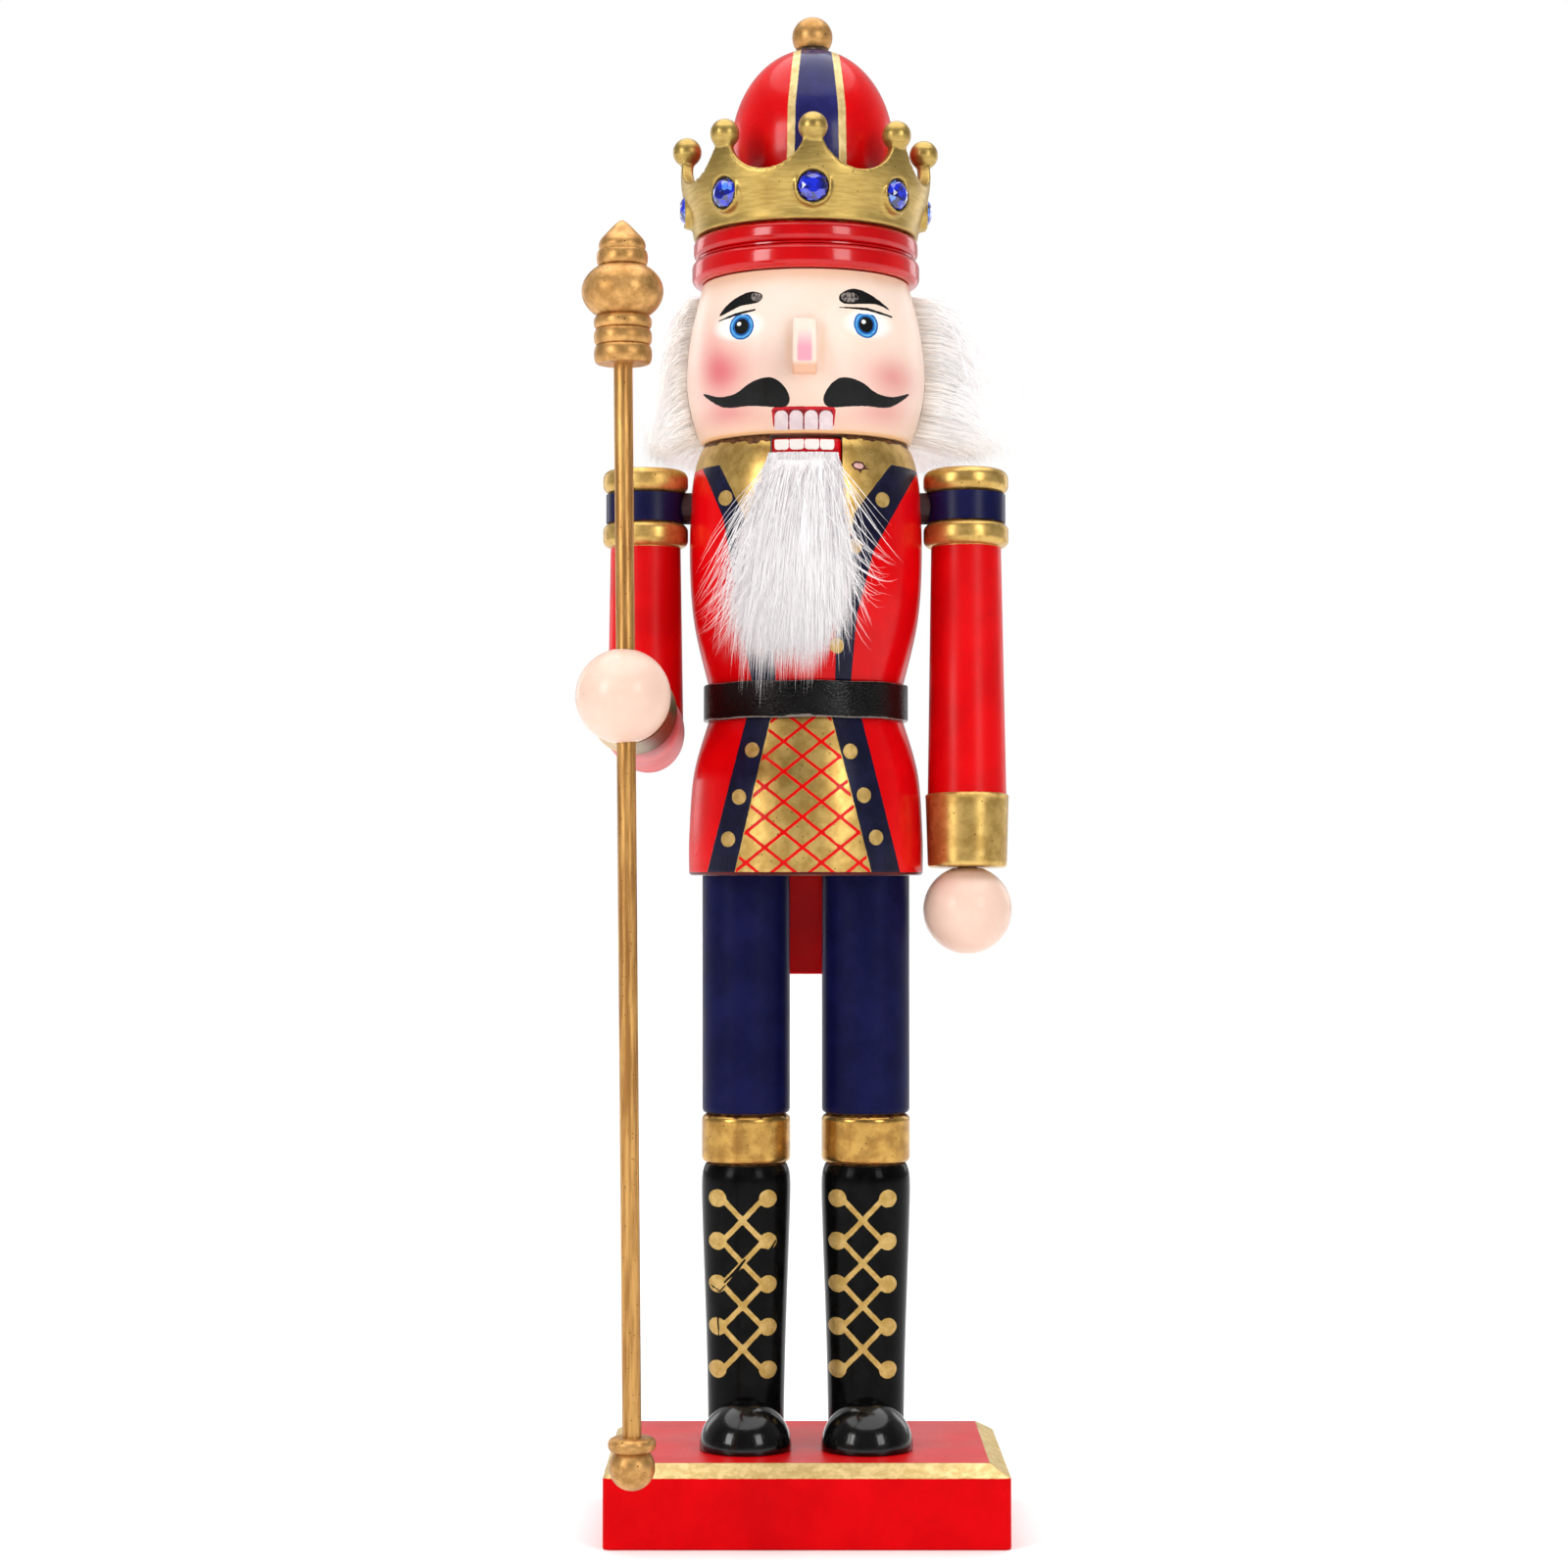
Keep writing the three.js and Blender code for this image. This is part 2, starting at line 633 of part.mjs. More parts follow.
function handPegHole(end) {
  return rod(HAND_PEG_RADIUS + GAP, 2 * (HAND_PEG_DEPTH + GAP))
    .translate(0, 0, end - HAND_PEG_DEPTH - GAP);
}

// A turned arm: the shoulder peg enters from the torso's side.
function straightArm(side) {
  const outline = [...cuff(-ARM_LENGTH), [SLEEVE_RADIUS, -10.1], ...epaulette()];
  return cut(turnedSolid(outline, SLIM), [
    shoulderHole().translate(side > 0 ? -14 : 0, 0, 0),
    handPegHole(-ARM_LENGTH),
  ]);
}

// A round bead whose flat meets the end of the cuff, at a distance along -Z.
function hand() {
  const ball = new THREE.SphereGeometry(HAND_RADIUS, 20, 13).rotateX(Math.PI / 2);
  return cut(ball, [
    block([-20, -20, HAND_OFFSET - GAP], [20, 20, 20]),
    handPegHole(HAND_OFFSET),
  ]);
}

function handPeg() {
  return rod(HAND_PEG_RADIUS, 2 * HAND_PEG_DEPTH).translate(0, 0, -HAND_PEG_DEPTH);
}

function shoulderPeg() {
  return rod(SHOULDER_PEG_RADIUS, ARM_X - SHOULDER_PEG_START - GAP, X_AXIS);
}

const leftArm = place(new THREE.Group(), ARM_X, 0, SHOULDER_Z);
leftArm.rotation.x = LEFT_ARM_TILT;
leftArm.add(piece('left_arm', straightArm(1), 'red'));
leftArm.add(place(piece('left_hand', hand(), 'skin'), 0, 0, -ARM_LENGTH - HAND_OFFSET));
leftArm.add(place(piece('left_hand_peg', handPeg(), 'wood'), 0, 0, -ARM_LENGTH));
figure.add(leftArm);

figure.add(place(piece('left_shoulder_peg', shoulderPeg(), 'wood'), SHOULDER_PEG_START, 0, SHOULDER_Z));
figure.add(place(piece('right_shoulder_peg', shoulderPeg(), 'wood'), -ARM_X + GAP, 0, SHOULDER_Z));

// The bent arm: an upper arm and a forearm meet at a mitre, with a dowel across it.
const forward = FOREARM.clone().normalize();
const elbow = new THREE.Vector3(0, 0, -ELBOW_DROP);
const mitre = new THREE.Vector3(0, 0, 1).sub(forward).normalize();
const ELBOW_DOWEL_HALF = 6;
const FOREARM_LENGTH = FOREARM.length() - HAND_OFFSET; // to the end of the cuff

function elbowHole() {
  const length = 2 * (ELBOW_DOWEL_HALF + GAP);
  const start = elbow.clone().addScaledVector(mitre, -length / 2);
  return rod(DOWEL_RADIUS + GAP, length, mitre).translate(start.x, start.y, start.z);
}

function upperArm() {
  const outline = [[SLEEVE_RADIUS, -ELBOW_DROP - 14], [SLEEVE_RADIUS, -10.1], ...epaulette()];
  const face = elbow.clone().addScaledVector(mitre, GAP / 2);
  return cut(turnedSolid(outline, SLIM), [
    halfSpace(face, mitre.clone().negate()),
    elbowHole(),
    shoulderHole(),
  ]);
}

// Built along -Z from the elbow at the origin, as the straight arm is from its shoulder.
const reach = new THREE.Quaternion().setFromUnitVectors(new THREE.Vector3(0, 0, -1), forward);

function forearm() {
  const outline = [...cuff(-FOREARM_LENGTH), [SLEEVE_RADIUS, 14]];
  const body = turnedSolid(outline, SLIM);
  const toLocal = reach.clone().invert();
  const normal = mitre.clone().applyQuaternion(toLocal);
  const face = normal.clone().multiplyScalar(-GAP / 2);
  const dowelHole = elbowHole().translate(0, 0, ELBOW_DROP).applyQuaternion(toLocal);
  return cut(body, [halfSpace(face, normal), dowelHole, handPegHole(-FOREARM_LENGTH)]);
}

const rise = new THREE.Vector3(0, 0, 1).applyAxisAngle(new THREE.Vector3(0, 1, 0), SCEPTRE_LEAN);

function sceptreHand() {
  const toLocal = reach.clone().invert();
  const along = rise.clone().applyQuaternion(toLocal);
  const start = new THREE.Vector3(ROD_OFFSET, 0, 0)
    .applyQuaternion(toLocal)
    .addScaledVector(along, -20);
  return cut(hand(), [
    rod(ROD_RADIUS + GAP, 40, along).translate(start.x, start.y, start.z),
  ]);
}

const rightArm = place(new THREE.Group(), -ARM_X, 0, SHOULDER_Z);
rightArm.add(piece('right_upper_arm', upperArm(), 'red'));
const dowelStart = elbow.clone().addScaledVector(mitre, -ELBOW_DOWEL_HALF);
const elbowDowel = piece('elbow_dowel', rod(DOWEL_RADIUS, 2 * ELBOW_DOWEL_HALF, mitre), 'wood');
rightArm.add(place(elbowDowel, dowelStart.x, dowelStart.y, dowelStart.z));

const reachGroup = place(new THREE.Group(), 0, 0, -ELBOW_DROP);
reachGroup.quaternion.copy(reach);
reachGroup.add(piece('right_forearm', forearm(), 'red'));
reachGroup.add(place(piece('right_hand_peg', handPeg(), 'wood'), 0, 0, -FOREARM_LENGTH));
reachGroup.add(place(piece('right_hand', sceptreHand(), 'skin'), 0, 0, -FOREARM.length()));
rightArm.add(reachGroup);
figure.add(rightArm);

// Sceptre, measured along its rod from the hand's centre -----------------------------

const HEAD_SOCKET = 87.2; // the rod's top end
const FOOT_SOCKET = -176.5; // the rod's bottom end
const RING_RADIUS = 6.75;
const RING_GROOVE_RADIUS = 5.95;
const RING_EDGES = [33.5, 29.2, 25.4, 22.4]; // below the tip: the head's three rings
const BULB_RADIUS = 9.5;
const BULB_CENTRE = 16.6; // below the tip
const BULB_RISE = 7.25;
const FOOT_BALL_RADIUS = 5.3;

// The outline of a rounded ring between two grooves.
function swell(bottom, top, groove, radius, steps = 4) {
  return Array.from({ length: steps }, (_, i) => {
    const turn = Math.PI * (i / steps);
    return [
      groove + (radius - groove) * Math.sin(turn),
      bottom + (top - bottom) * (1 - Math.cos(turn)) / 2,
    ];
  });
}

function sceptreHead() {
  const tip = SCEPTRE_UP;
  const rings = RING_EDGES.slice(1).flatMap((top, i) =>
    swell(tip - RING_EDGES[i], tip - top, RING_GROOVE_RADIUS, RING_RADIUS));
  const bulb = [5.75, 4, 2, 0, -2, -4, -5.75].map((drop) => [
    BULB_RADIUS * Math.sqrt(1 - (drop / BULB_RISE) ** 2),
    tip - BULB_CENTRE - drop,
  ]);
  const neck = swell(tip - 10.7, tip - 7, 5.3, 5.95);
  const point = [[5.2, 7], [5.45, 5.9], [4.95, 4.5], [3.35, 2.7], [1.65, 0.95], [0.4, 0]]
    .map(([radius, drop]) => [radius, tip - drop]);
  const body = turnedSolid([...rings, ...bulb, ...neck, ...point], SMALL);
  return cut(body, [rod(ROD_RADIUS + GAP, 30).translate(0, 0, HEAD_SOCKET + GAP - 30)]);
}

function sceptreFoot() {
  const bottom = -SCEPTRE_DOWN;
  const ball = [];
  for (let step = 0; step <= 6; step += 1) {
    const angle = Math.PI * (0.04 + 0.72 * (step / 6));
    ball.push([
      FOOT_BALL_RADIUS * Math.sin(angle),
      bottom + FOOT_BALL_RADIUS * (1 - Math.cos(angle)),
    ]);
  }
  const ring = roundedBand(bottom + 8.8, bottom + 12.3, 5.5, 1.3);
  const body = turnedSolid([...ball, ...ring], SMALL);
  return cut(body, [rod(ROD_RADIUS + GAP, 30).translate(0, 0, FOOT_SOCKET - GAP)]);
}

const grip = FOREARM.clone()
  .add(new THREE.Vector3(ROD_OFFSET - ARM_X, 0, SHOULDER_Z - ELBOW_DROP));
const sceptre = place(new THREE.Group(), grip.x, grip.y, grip.z);
sceptre.rotation.y = SCEPTRE_LEAN;
const rodPiece = piece('sceptre_rod', rod(ROD_RADIUS, HEAD_SOCKET - FOOT_SOCKET), 'copper');
sceptre.add(place(rodPiece, 0, 0, FOOT_SOCKET));
sceptre.add(piece('sceptre_head', sceptreHead(), 'copper'));
sceptre.add(piece('sceptre_foot', sceptreFoot(), 'copper'));
figure.add(sceptre);

export default figure;
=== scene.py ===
"""Looks of a wooden nutcracker king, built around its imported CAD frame.

Lengths below are millimetres in the frame's own axes: +Z up, the figure faces -Y.
Meshes are turned into metres when they are made. Each turned piece keeps its CAD
size, with a finer surface, and its painted decoration is a signed distance stored on
the mesh, in millimetres, which the paint material reads.
"""

import math

import bpy
import numpy as np
from mathutils import Matrix, Vector
from mathutils.bvhtree import BVHTree


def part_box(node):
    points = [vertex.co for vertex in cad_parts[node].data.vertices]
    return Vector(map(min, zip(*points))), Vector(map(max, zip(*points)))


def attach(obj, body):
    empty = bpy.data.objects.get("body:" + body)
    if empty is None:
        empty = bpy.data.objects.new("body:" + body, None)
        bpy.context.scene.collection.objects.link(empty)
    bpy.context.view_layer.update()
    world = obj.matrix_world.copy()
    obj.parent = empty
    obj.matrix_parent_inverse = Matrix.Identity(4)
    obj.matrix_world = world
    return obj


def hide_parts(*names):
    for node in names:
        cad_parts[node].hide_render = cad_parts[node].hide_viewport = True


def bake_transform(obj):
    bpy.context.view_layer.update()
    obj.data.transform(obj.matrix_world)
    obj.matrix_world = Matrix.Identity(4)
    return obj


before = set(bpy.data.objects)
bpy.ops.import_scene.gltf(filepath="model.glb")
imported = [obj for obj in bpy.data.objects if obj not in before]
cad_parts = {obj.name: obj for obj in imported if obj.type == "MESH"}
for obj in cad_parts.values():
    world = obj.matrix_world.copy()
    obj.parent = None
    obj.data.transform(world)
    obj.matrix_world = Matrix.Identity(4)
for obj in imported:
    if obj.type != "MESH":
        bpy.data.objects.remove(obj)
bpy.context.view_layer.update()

MM = 0.001
FAR = -9.0  # a signed distance that is well outside any painted shape
rng = np.random.default_rng(12)


def extent(node):
    """The lowest and highest corner of a CAD node, in millimetres."""
    low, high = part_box(node)
    return np.array(low) / MM, np.array(high) / MM


# Heights and radii from the frame ------------------------------------------------------

BASE_LOW, BASE_HIGH = extent("base_block")
TORSO_LOW, TORSO_HIGH = extent("torso")
BELT_LOW, BELT_HIGH = extent("belt")
HEAD_LOW, HEAD_HIGH = extent("head_block")
BAND_LOW, BAND_HIGH = extent("hat_band")
CROWN_LOW = extent("crown")[0]
DOME_LOW, DOME_HIGH = extent("hat_dome")
BEAD_LOW, BEAD_HIGH = extent("hat_bead")
LEVER_LOW, LEVER_HIGH = extent("jaw_lever")
LEG_LOW, LEG_HIGH = extent("leg_left")

TORSO_BOTTOM, TORSO_TOP = TORSO_LOW[2], TORSO_HIGH[2]
TORSO_RADIUS = TORSO_HIGH[0]
HEAD_BOTTOM, HEAD_TOP = HEAD_LOW[2], HEAD_HIGH[2]
HEAD_RADIUS = HEAD_HIGH[0]
WAIST_RADIUS = TORSO_RADIUS - 5.1
LEG_X = (LEG_LOW[0] + LEG_HIGH[0]) / 2
LEVER_WIDTH = LEVER_HIGH[0] - LEVER_LOW[0]
SLOT_WIDTH = LEVER_WIDTH + 0.6
SLOT_FLOOR = 229.0
SLOT_BACK_Y = 13.5
SHOULDER = np.array([40.4, 0.0, 254.0])
ELBOW_DROP = 55.8
FOREARM = np.array([-2.3, -66.0, 4.6])
LEFT_TILT = math.radians(-2.3)
SCEPTRE_LEAN = -0.0096
ROD_OFFSET = 0.6  # from the middle of the right hand to the rod, along X
CROWN_TURN = math.radians(3)
DOME_X = (DOME_LOW[0] + DOME_HIGH[0]) / 2


# Outlines ------------------------------------------------------------------------------

def spline(points, steps):
    """A smooth line of steps + 1 points through a few [radius, height] points."""
    points = np.array(points, float)
    last = len(points) - 1
    line = []
    for place in np.linspace(0, last, steps + 1):
        i = min(int(place), last - 1)
        t = place - i
        before, a, b, after = (points[min(max(i + k, 0), last)] for k in (-1, 0, 1, 2))
        leave, arrive = (b - before) / 2, (after - a) / 2
        line.append(
            (2 * a - 2 * b + leave + arrive) * t**3
            + (3 * b - 3 * a - 2 * leave - arrive) * t**2
            + leave * t
            + a
        )
    return [list(p) for p in line]


def band(bottom, top, radius, corner, steps=7):
    """The outline of a band with rounded edges."""
    turn = np.linspace(0, math.pi / 2, steps + 1)
    low = [[radius - corner * (1 - math.sin(a)), bottom + corner * (1 - math.cos(a))] for a in turn]
    return low + [[r, top + bottom - z] for r, z in reversed(low)]


def swell(bottom, top, groove, radius, steps=12):
    """The outline of a rounded ring between two grooves."""
    turns = np.linspace(0, math.pi, steps + 1)[:-1]
    return [[groove + (radius - groove) * math.sin(a), bottom + (top - bottom) * (1 - math.cos(a)) / 2]
            for a in turns]


def arc(centre_z, radius, start, stop, steps, stretch=1.0):
    """Part of a ball's outline, from an angle below its equator to one above it, in degrees."""
    angles = np.radians(np.linspace(start, stop, steps + 1))
    return [[radius * math.cos(a), centre_z + radius * stretch * math.sin(a)] for a in angles]


def refined(outline, step):
    """The outline with no gap between points longer than step."""
    fine = [outline[0]]
    for a, b in zip(outline, outline[1:]):
        parts = max(1, math.ceil(math.dist(a, b) / step - 1e-6))
        fine += [[a[0] + (b[0] - a[0]) * k / parts, a[1] + (b[1] - a[1]) * k / parts]
                 for k in range(1, parts + 1)]
    return fine


# Mesh making ---------------------------------------------------------------------------

def mesh_object(name, points, faces):
    """A new object from points in millimetres."""
    mesh = bpy.data.meshes.new(name)
    mesh.from_pydata((np.asarray(points, float) * MM).tolist(), [], faces)
    mesh.update()
    made = bpy.data.objects.new(name, mesh)
    bpy.context.scene.collection.objects.link(made)
    return made


def points_of(piece):
    """A piece's vertices in millimetres, as an array."""
    flat = np.empty(len(piece.data.vertices) * 3, np.float32)
    piece.data.vertices.foreach_get("co", flat)
    return flat.reshape(-1, 3).astype(float) / MM


def set_points(piece, points):
    piece.data.vertices.foreach_set("co", (np.asarray(points) * MM).astype(np.float32).ravel())
    piece.data.update()


def columns(fine, coarse, front_half):
    """Angles round a turned piece in degrees: steps are fine in front and coarse behind."""
    front = np.arange(-front_half, front_half, fine)
    back = np.arange(front_half, 360 - front_half, coarse)
    return np.radians(np.concatenate([front, back]))


def turned(name, outline, step=0.8, angles=None, ring=False):
    """A turned piece about Z. A ring's outline closes on itself; any other ends on the axis."""
    if angles is None:
        angles = np.radians(np.arange(0, 360, 3.0))
    if not ring:
        outline = [[0, outline[0][1]], *outline, [0, outline[-1][1]]]
    line = np.array(refined(outline, step))
    body = line[:-1] if ring else line[1:-1]
    rows, count = len(body), len(angles)
    radius, height = body[:, 0][:, None], body[:, 1][:, None]
    points = np.stack([radius * np.sin(angles), -radius * np.cos(angles),
                       height * np.ones_like(angles)], -1).reshape(-1, 3)
    i, j = np.meshgrid(np.arange(rows if ring else rows - 1), np.arange(count), indexing="ij")
    up, on = (i + 1) % rows, (j + 1) % count
    quads = np.stack([i * count + j, i * count + on, up * count + on, up * count + j], -1)
    faces = quads.reshape(-1, 4).tolist()
    if not ring:
        bottom, top = len(points), len(points) + 1
        points = np.vstack([points, [0, 0, line[0][1]], [0, 0, line[-1][1]]])
        around = [(k, (k + 1) % count) for k in range(count)]
        faces += [[bottom, b, a] for a, b in around]
        start = (rows - 1) * count
        faces += [[top, start + a, start + b] for a, b in around]
    return mesh_object(name, points, faces)


def moved(piece, matrix):
    """Moves a piece's mesh by a matrix in millimetres."""
    points = points_of(piece)
    matrix = np.array(matrix, float)
    set_points(piece, points @ matrix[:3, :3].T + matrix[:3, 3])
    return piece


def shift(x, y, z):
    return Matrix.Translation(Vector((x, y, z)))


def block(low, high):
    """A plain box, used as a cutting tool."""
    (x0, y0, z0), (x1, y1, z1) = low, high
    points = [(x, y, z) for z in (z0, z1) for x, y in ((x0, y0), (x1, y0), (x1, y1), (x0, y1))]
    faces = [[3, 2, 1, 0], [4, 5, 6, 7], [0, 1, 5, 4], [1, 2, 6, 5], [2, 3, 7, 6], [3, 0, 4, 7]]
    return mesh_object("tool", points, faces)


def rod(radius, start, end):
    """A round bar between two points, used as a cutting tool."""
    start, end = Vector(start), Vector(end)
    bar = turned("tool", [[radius, 0], [radius, (end - start).length]], 99,
                 np.radians(np.arange(0, 360, 7.5)))
    turn = Vector((0, 0, 1)).rotation_difference(end - start).to_matrix().to_4x4()
    return moved(bar, Matrix.Translation(start) @ turn)


def extruded(name, outline, depth, matrix):
    """A flat outline of [x, y] points made into a slab along Z, then moved by the matrix."""
    count = len(outline)
    points = [(x, y, 0) for x, y in outline] + [(x, y, depth) for x, y in outline]
    faces = [list(reversed(range(count))), list(range(count, 2 * count))]
    faces += [[i, (i + 1) % count, count + (i + 1) % count, count + i] for i in range(count)]
    return moved(mesh_object(name, points, faces), matrix)


def apply_modifiers(piece):
    """Bakes a piece's modifiers into its mesh."""
    graph = bpy.context.evaluated_depsgraph_get()
    mesh = bpy.data.meshes.new_from_object(piece.evaluated_get(graph), depsgraph=graph)
    old = piece.data
    piece.modifiers.clear()
    piece.data = mesh
    bpy.data.meshes.remove(old)
    return piece


def combine(piece, tools, operation="DIFFERENCE"):
    """Cuts tools out of a piece, or joins them to it, and removes the tools."""
    for tool in tools:
        change = piece.modifiers.new("shape", "BOOLEAN")
        change.operation = operation
        change.solver = "MANIFOLD"
        change.object = tool
    bpy.context.view_layer.update()
    apply_modifiers(piece)
    for tool in tools:
        bpy.data.objects.remove(tool)
    return piece


def softened(piece, width, segments=3, limit=30):
    """Rounds a piece's hard edges."""
    edge = piece.modifiers.new("edge", "BEVEL")
    edge.width = width * MM
    edge.segments = segments
    edge.limit_method = "ANGLE"
    edge.angle_limit = math.radians(limit)
    return apply_modifiers(piece)


def smoothed(piece, angle=38):
    piece.data.shade_smooth()
    piece.data.set_sharp_from_angle(angle=math.radians(angle))
    return piece


def done(piece, body, material, slot, *nodes):
    """Gives a piece its material and its body, and hides the CAD nodes that it stands for. The slot argument
    is not used.
    """
    piece.data.materials.clear()
    piece.data.materials.append(material)
    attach(piece, body)
    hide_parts(*nodes)
    return piece


# Signed distances of painted shapes, in millimetres, positive inside ----------------------

def disc(x, z, centre, radius, squash=1.0):
    return radius - np.hypot(x - centre[0], (z - centre[1]) / squash)


def polygon(x, z, outline):
    nearest = np.full(x.shape, np.inf)
    inside = np.zeros(x.shape, bool)
    for (ax, az), (bx, bz) in zip(outline, [*outline[1:], outline[0]]):
        run, climb = bx - ax, bz - az
        along = np.clip(((x - ax) * run + (z - az) * climb) / (run**2 + climb**2), 0, 1)
        nearest = np.minimum(nearest, np.hypot(x - ax - along * run, z - az - along * climb))
        if abs(climb) > 1e-9:
            inside ^= ((az > z) != (bz > z)) & (x < ax + (z - az) / climb * run)
    return np.where(inside, nearest, -nearest)


def rounded_box(x, z, low, high, corner):
    across = np.abs(x - (low[0] + high[0]) / 2) - (high[0] - low[0]) / 2 + corner
    along = np.abs(z - (low[1] + high[1]) / 2) - (high[1] - low[1]) / 2 + corner
    outside = np.hypot(np.maximum(across, 0), np.maximum(along, 0))
    return corner - outside - np.minimum(np.maximum(across, along), 0)


def stroke(x, z, points, widths):
    """A brush stroke through points, with a width at each of them."""
    best = np.full(x.shape, FAR)
    for (ax, az), (bx, bz), start, end in zip(points, points[1:], widths, widths[1:]):
        run, climb = bx - ax, bz - az
        along = np.clip(((x - ax) * run + (z - az) * climb) / (run**2 + climb**2), 0, 1)
        gap = np.hypot(x - ax - along * run, z - az - along * climb)
        best = np.maximum(best, (start + (end - start) * along) / 2 - gap)
    return best


def union(*fields):
    return np.maximum.reduce(fields)


def overlap(*fields):
    return np.minimum.reduce(fields)


def curved(points, steps=8):
    """A closed smooth outline through a few points."""
    count = len(points)
    line = spline([points[-1], *points, points[0], points[1]], (count + 2) * steps)
    return line[steps:-steps - 1]


def paint(piece, name, values):
    """Stores a painted shape's distance on a piece's points."""
    field = piece.data.attributes.new(name, "FLOAT", "POINT")
    field.data.foreach_set("value", np.clip(values, FAR, -FAR).astype(np.float32))


# Materials -----------------------------------------------------------------------------

class Graph:
    """A short way to write one material's node tree. Texture coordinates are in metres."""

    def __init__(self, name):
        self.material = bpy.data.materials.new(name)
        self.material.use_nodes = True
        self.tree = self.material.node_tree
        self.tree.nodes.clear()
        self.shader = self.tree.nodes.new("ShaderNodeBsdfPrincipled")
        output = self.tree.nodes.new("ShaderNodeOutputMaterial")
        self.tree.links.new(self.shader.outputs[0], output.inputs["Surface"])
        self.place = self.tree.nodes.new("ShaderNodeTexCoord").outputs["Object"]

    def feed(self, socket, value):
        if isinstance(value, bpy.types.NodeSocket):
            self.tree.links.new(value, socket)
        elif isinstance(value, tuple) and socket.type == "RGBA":
            socket.default_value = (*value, 1)
        else:
            socket.default_value = value

    def node(self, kind, inputs, **settings):
        made = self.tree.nodes.new("ShaderNode" + kind)
        for name, value in settings.items():
            setattr(made, name, value)
        for key, value in inputs.items():
            self.feed(made.inputs[key], value)
        return made

    def math(self, operation, a, b=0.0):
        return self.node("Math", {0: a, 1: b}, operation=operation).outputs[0]

    def noise(self, scale, detail=3.0, stretch=None, roughness=0.5):
        place = self.place
        if stretch:
            place = self.node("Mapping", {"Vector": place, "Scale": stretch}).outputs[0]
        inputs = {"Vector": place, "Scale": scale, "Detail": detail, "Roughness": roughness}
        return self.node("TexNoise", inputs).outputs[0]

    def specks(self, scale, size):
        """Small round spots: 1 inside a spot and 0 outside."""
        near = self.node("TexVoronoi", {"Vector": self.place, "Scale": scale}).outputs["Distance"]
        return self.span(near, size, size * 0.6)

    def span(self, value, start, end, low=0.0, high=1.0):
        inputs = {0: value, 1: start, 2: end, 3: low, 4: high}
        return self.node("MapRange", inputs, interpolation_type="SMOOTHSTEP").outputs[0]

    def mix(self, a, b, share):
        inputs = {0: share, 6: a, 7: b}
        return self.node("Mix", inputs, data_type="RGBA", clamp_factor=True).outputs[2]

    def blend(self, a, b, share):
        return self.node("Mix", {0: share, 2: a, 3: b}, data_type="FLOAT").outputs[0]

    def field(self, name):
        return self.node("Attribute", {}, attribute_name=name).outputs["Fac"]

    def mask(self, name, ragged=0.06, soft=0.05):
        """1 where the named shape is painted, with a slightly uneven hand-painted edge."""
        edge = self.math("MULTIPLY", self.math("SUBTRACT", self.noise(900, 2), 0.5), ragged * 4)
        return self.span(self.math("ADD", self.field(name), edge), -soft, soft)

    def bump(self, height, depth):
        inputs = {"Height": height, "Strength": 1.0, "Distance": depth * MM}
        return self.node("Bump", inputs).outputs[0]

    def finish(self, **inputs):
        for name, value in inputs.items():
            self.feed(self.shader.inputs[name.replace("_", " ")], value)
        return self.material


class Paint:
    """One paint: two close colours that its mottling runs between, and how it shines."""

    def __init__(self, light, dark, roughness, metal=0.0, scale=120, stretch=None, flecks=None):
        self.light, self.dark = light, dark
        self.roughness, self.metal = roughness, metal
        self.scale, self.stretch = scale, stretch
        self.flecks = flecks

    def colour(self, g):
        cloud = g.span(g.noise(self.scale, 5, self.stretch, 0.62), 0.36, 0.66)
        colour = g.mix(self.dark, self.light, cloud)
        if self.flecks:
            shade, scale, size = self.flecks
            colour = g.mix(colour, shade, g.specks(scale, size))
        return colour


RED = Paint((0.74, 0.0012, 0.003), (0.62, 0.001, 0.003), 0.22, scale=70)
SLEEVE_RED = Paint((0.70, 0.0012, 0.003), (0.58, 0.001, 0.003), 0.34, scale=70)
NAVY = Paint((0.007, 0.0075, 0.056), (0.004, 0.0045, 0.036), 0.32, scale=90)
INK = Paint((0.010, 0.011, 0.036), (0.006, 0.006, 0.020), 0.26, scale=160)
BLACK = Paint((0.005, 0.005, 0.005), (0.002, 0.002, 0.002), 0.18, scale=200)
DARK_FLECK = (0.06, 0.025, 0.01)
GOLD = Paint((0.68, 0.45, 0.14), (0.47, 0.285, 0.075), 0.33, 0.75, 260, flecks=(DARK_FLECK, 480, 0.11))
GARTER_GOLD = Paint((0.64, 0.38, 0.10), (0.38, 0.20, 0.05), 0.27, 0.85, 200, flecks=(DARK_FLECK, 480, 0.12))
# Dark brown for darkened edges: painted shade along the collar's top, chipped paint beside the mouth, and a
# ragged line at the garters' edges.
DARK_EDGE = Paint((0.17, 0.065, 0.020), (0.035, 0.012, 0.006), 0.5, scale=650)
PALE_GOLD = Paint((0.78, 0.60, 0.28), (0.58, 0.41, 0.16), 0.42, 0.45, 420)
CROWN_GOLD = Paint((0.52, 0.36, 0.105), (0.40, 0.265, 0.07), 0.36, 0.8, 220, (1, 1, 7))
SCEPTRE_GOLD = Paint((0.66, 0.36, 0.12), (0.40, 0.20, 0.055), 0.42, 0.7, 300)
LACE_GOLD = Paint((0.62, 0.42, 0.15), (0.46, 0.29, 0.08), 0.40, 0.45, 420)
SKIN = Paint((0.92, 0.745, 0.64), (0.90, 0.69, 0.57), 0.32, scale=60)
HAND = Paint((0.84, 0.61, 0.50), (0.80, 0.55, 0.44), 0.26, scale=60, flecks=((0.25, 0.16, 0.12), 240, 0.035))
WHITE = Paint((0.93, 0.90, 0.86), (0.90, 0.85, 0.80), 0.28, scale=300)
BLUE = Paint((0.010, 0.13, 0.45), (0.005, 0.08, 0.32), 0.3, scale=500)
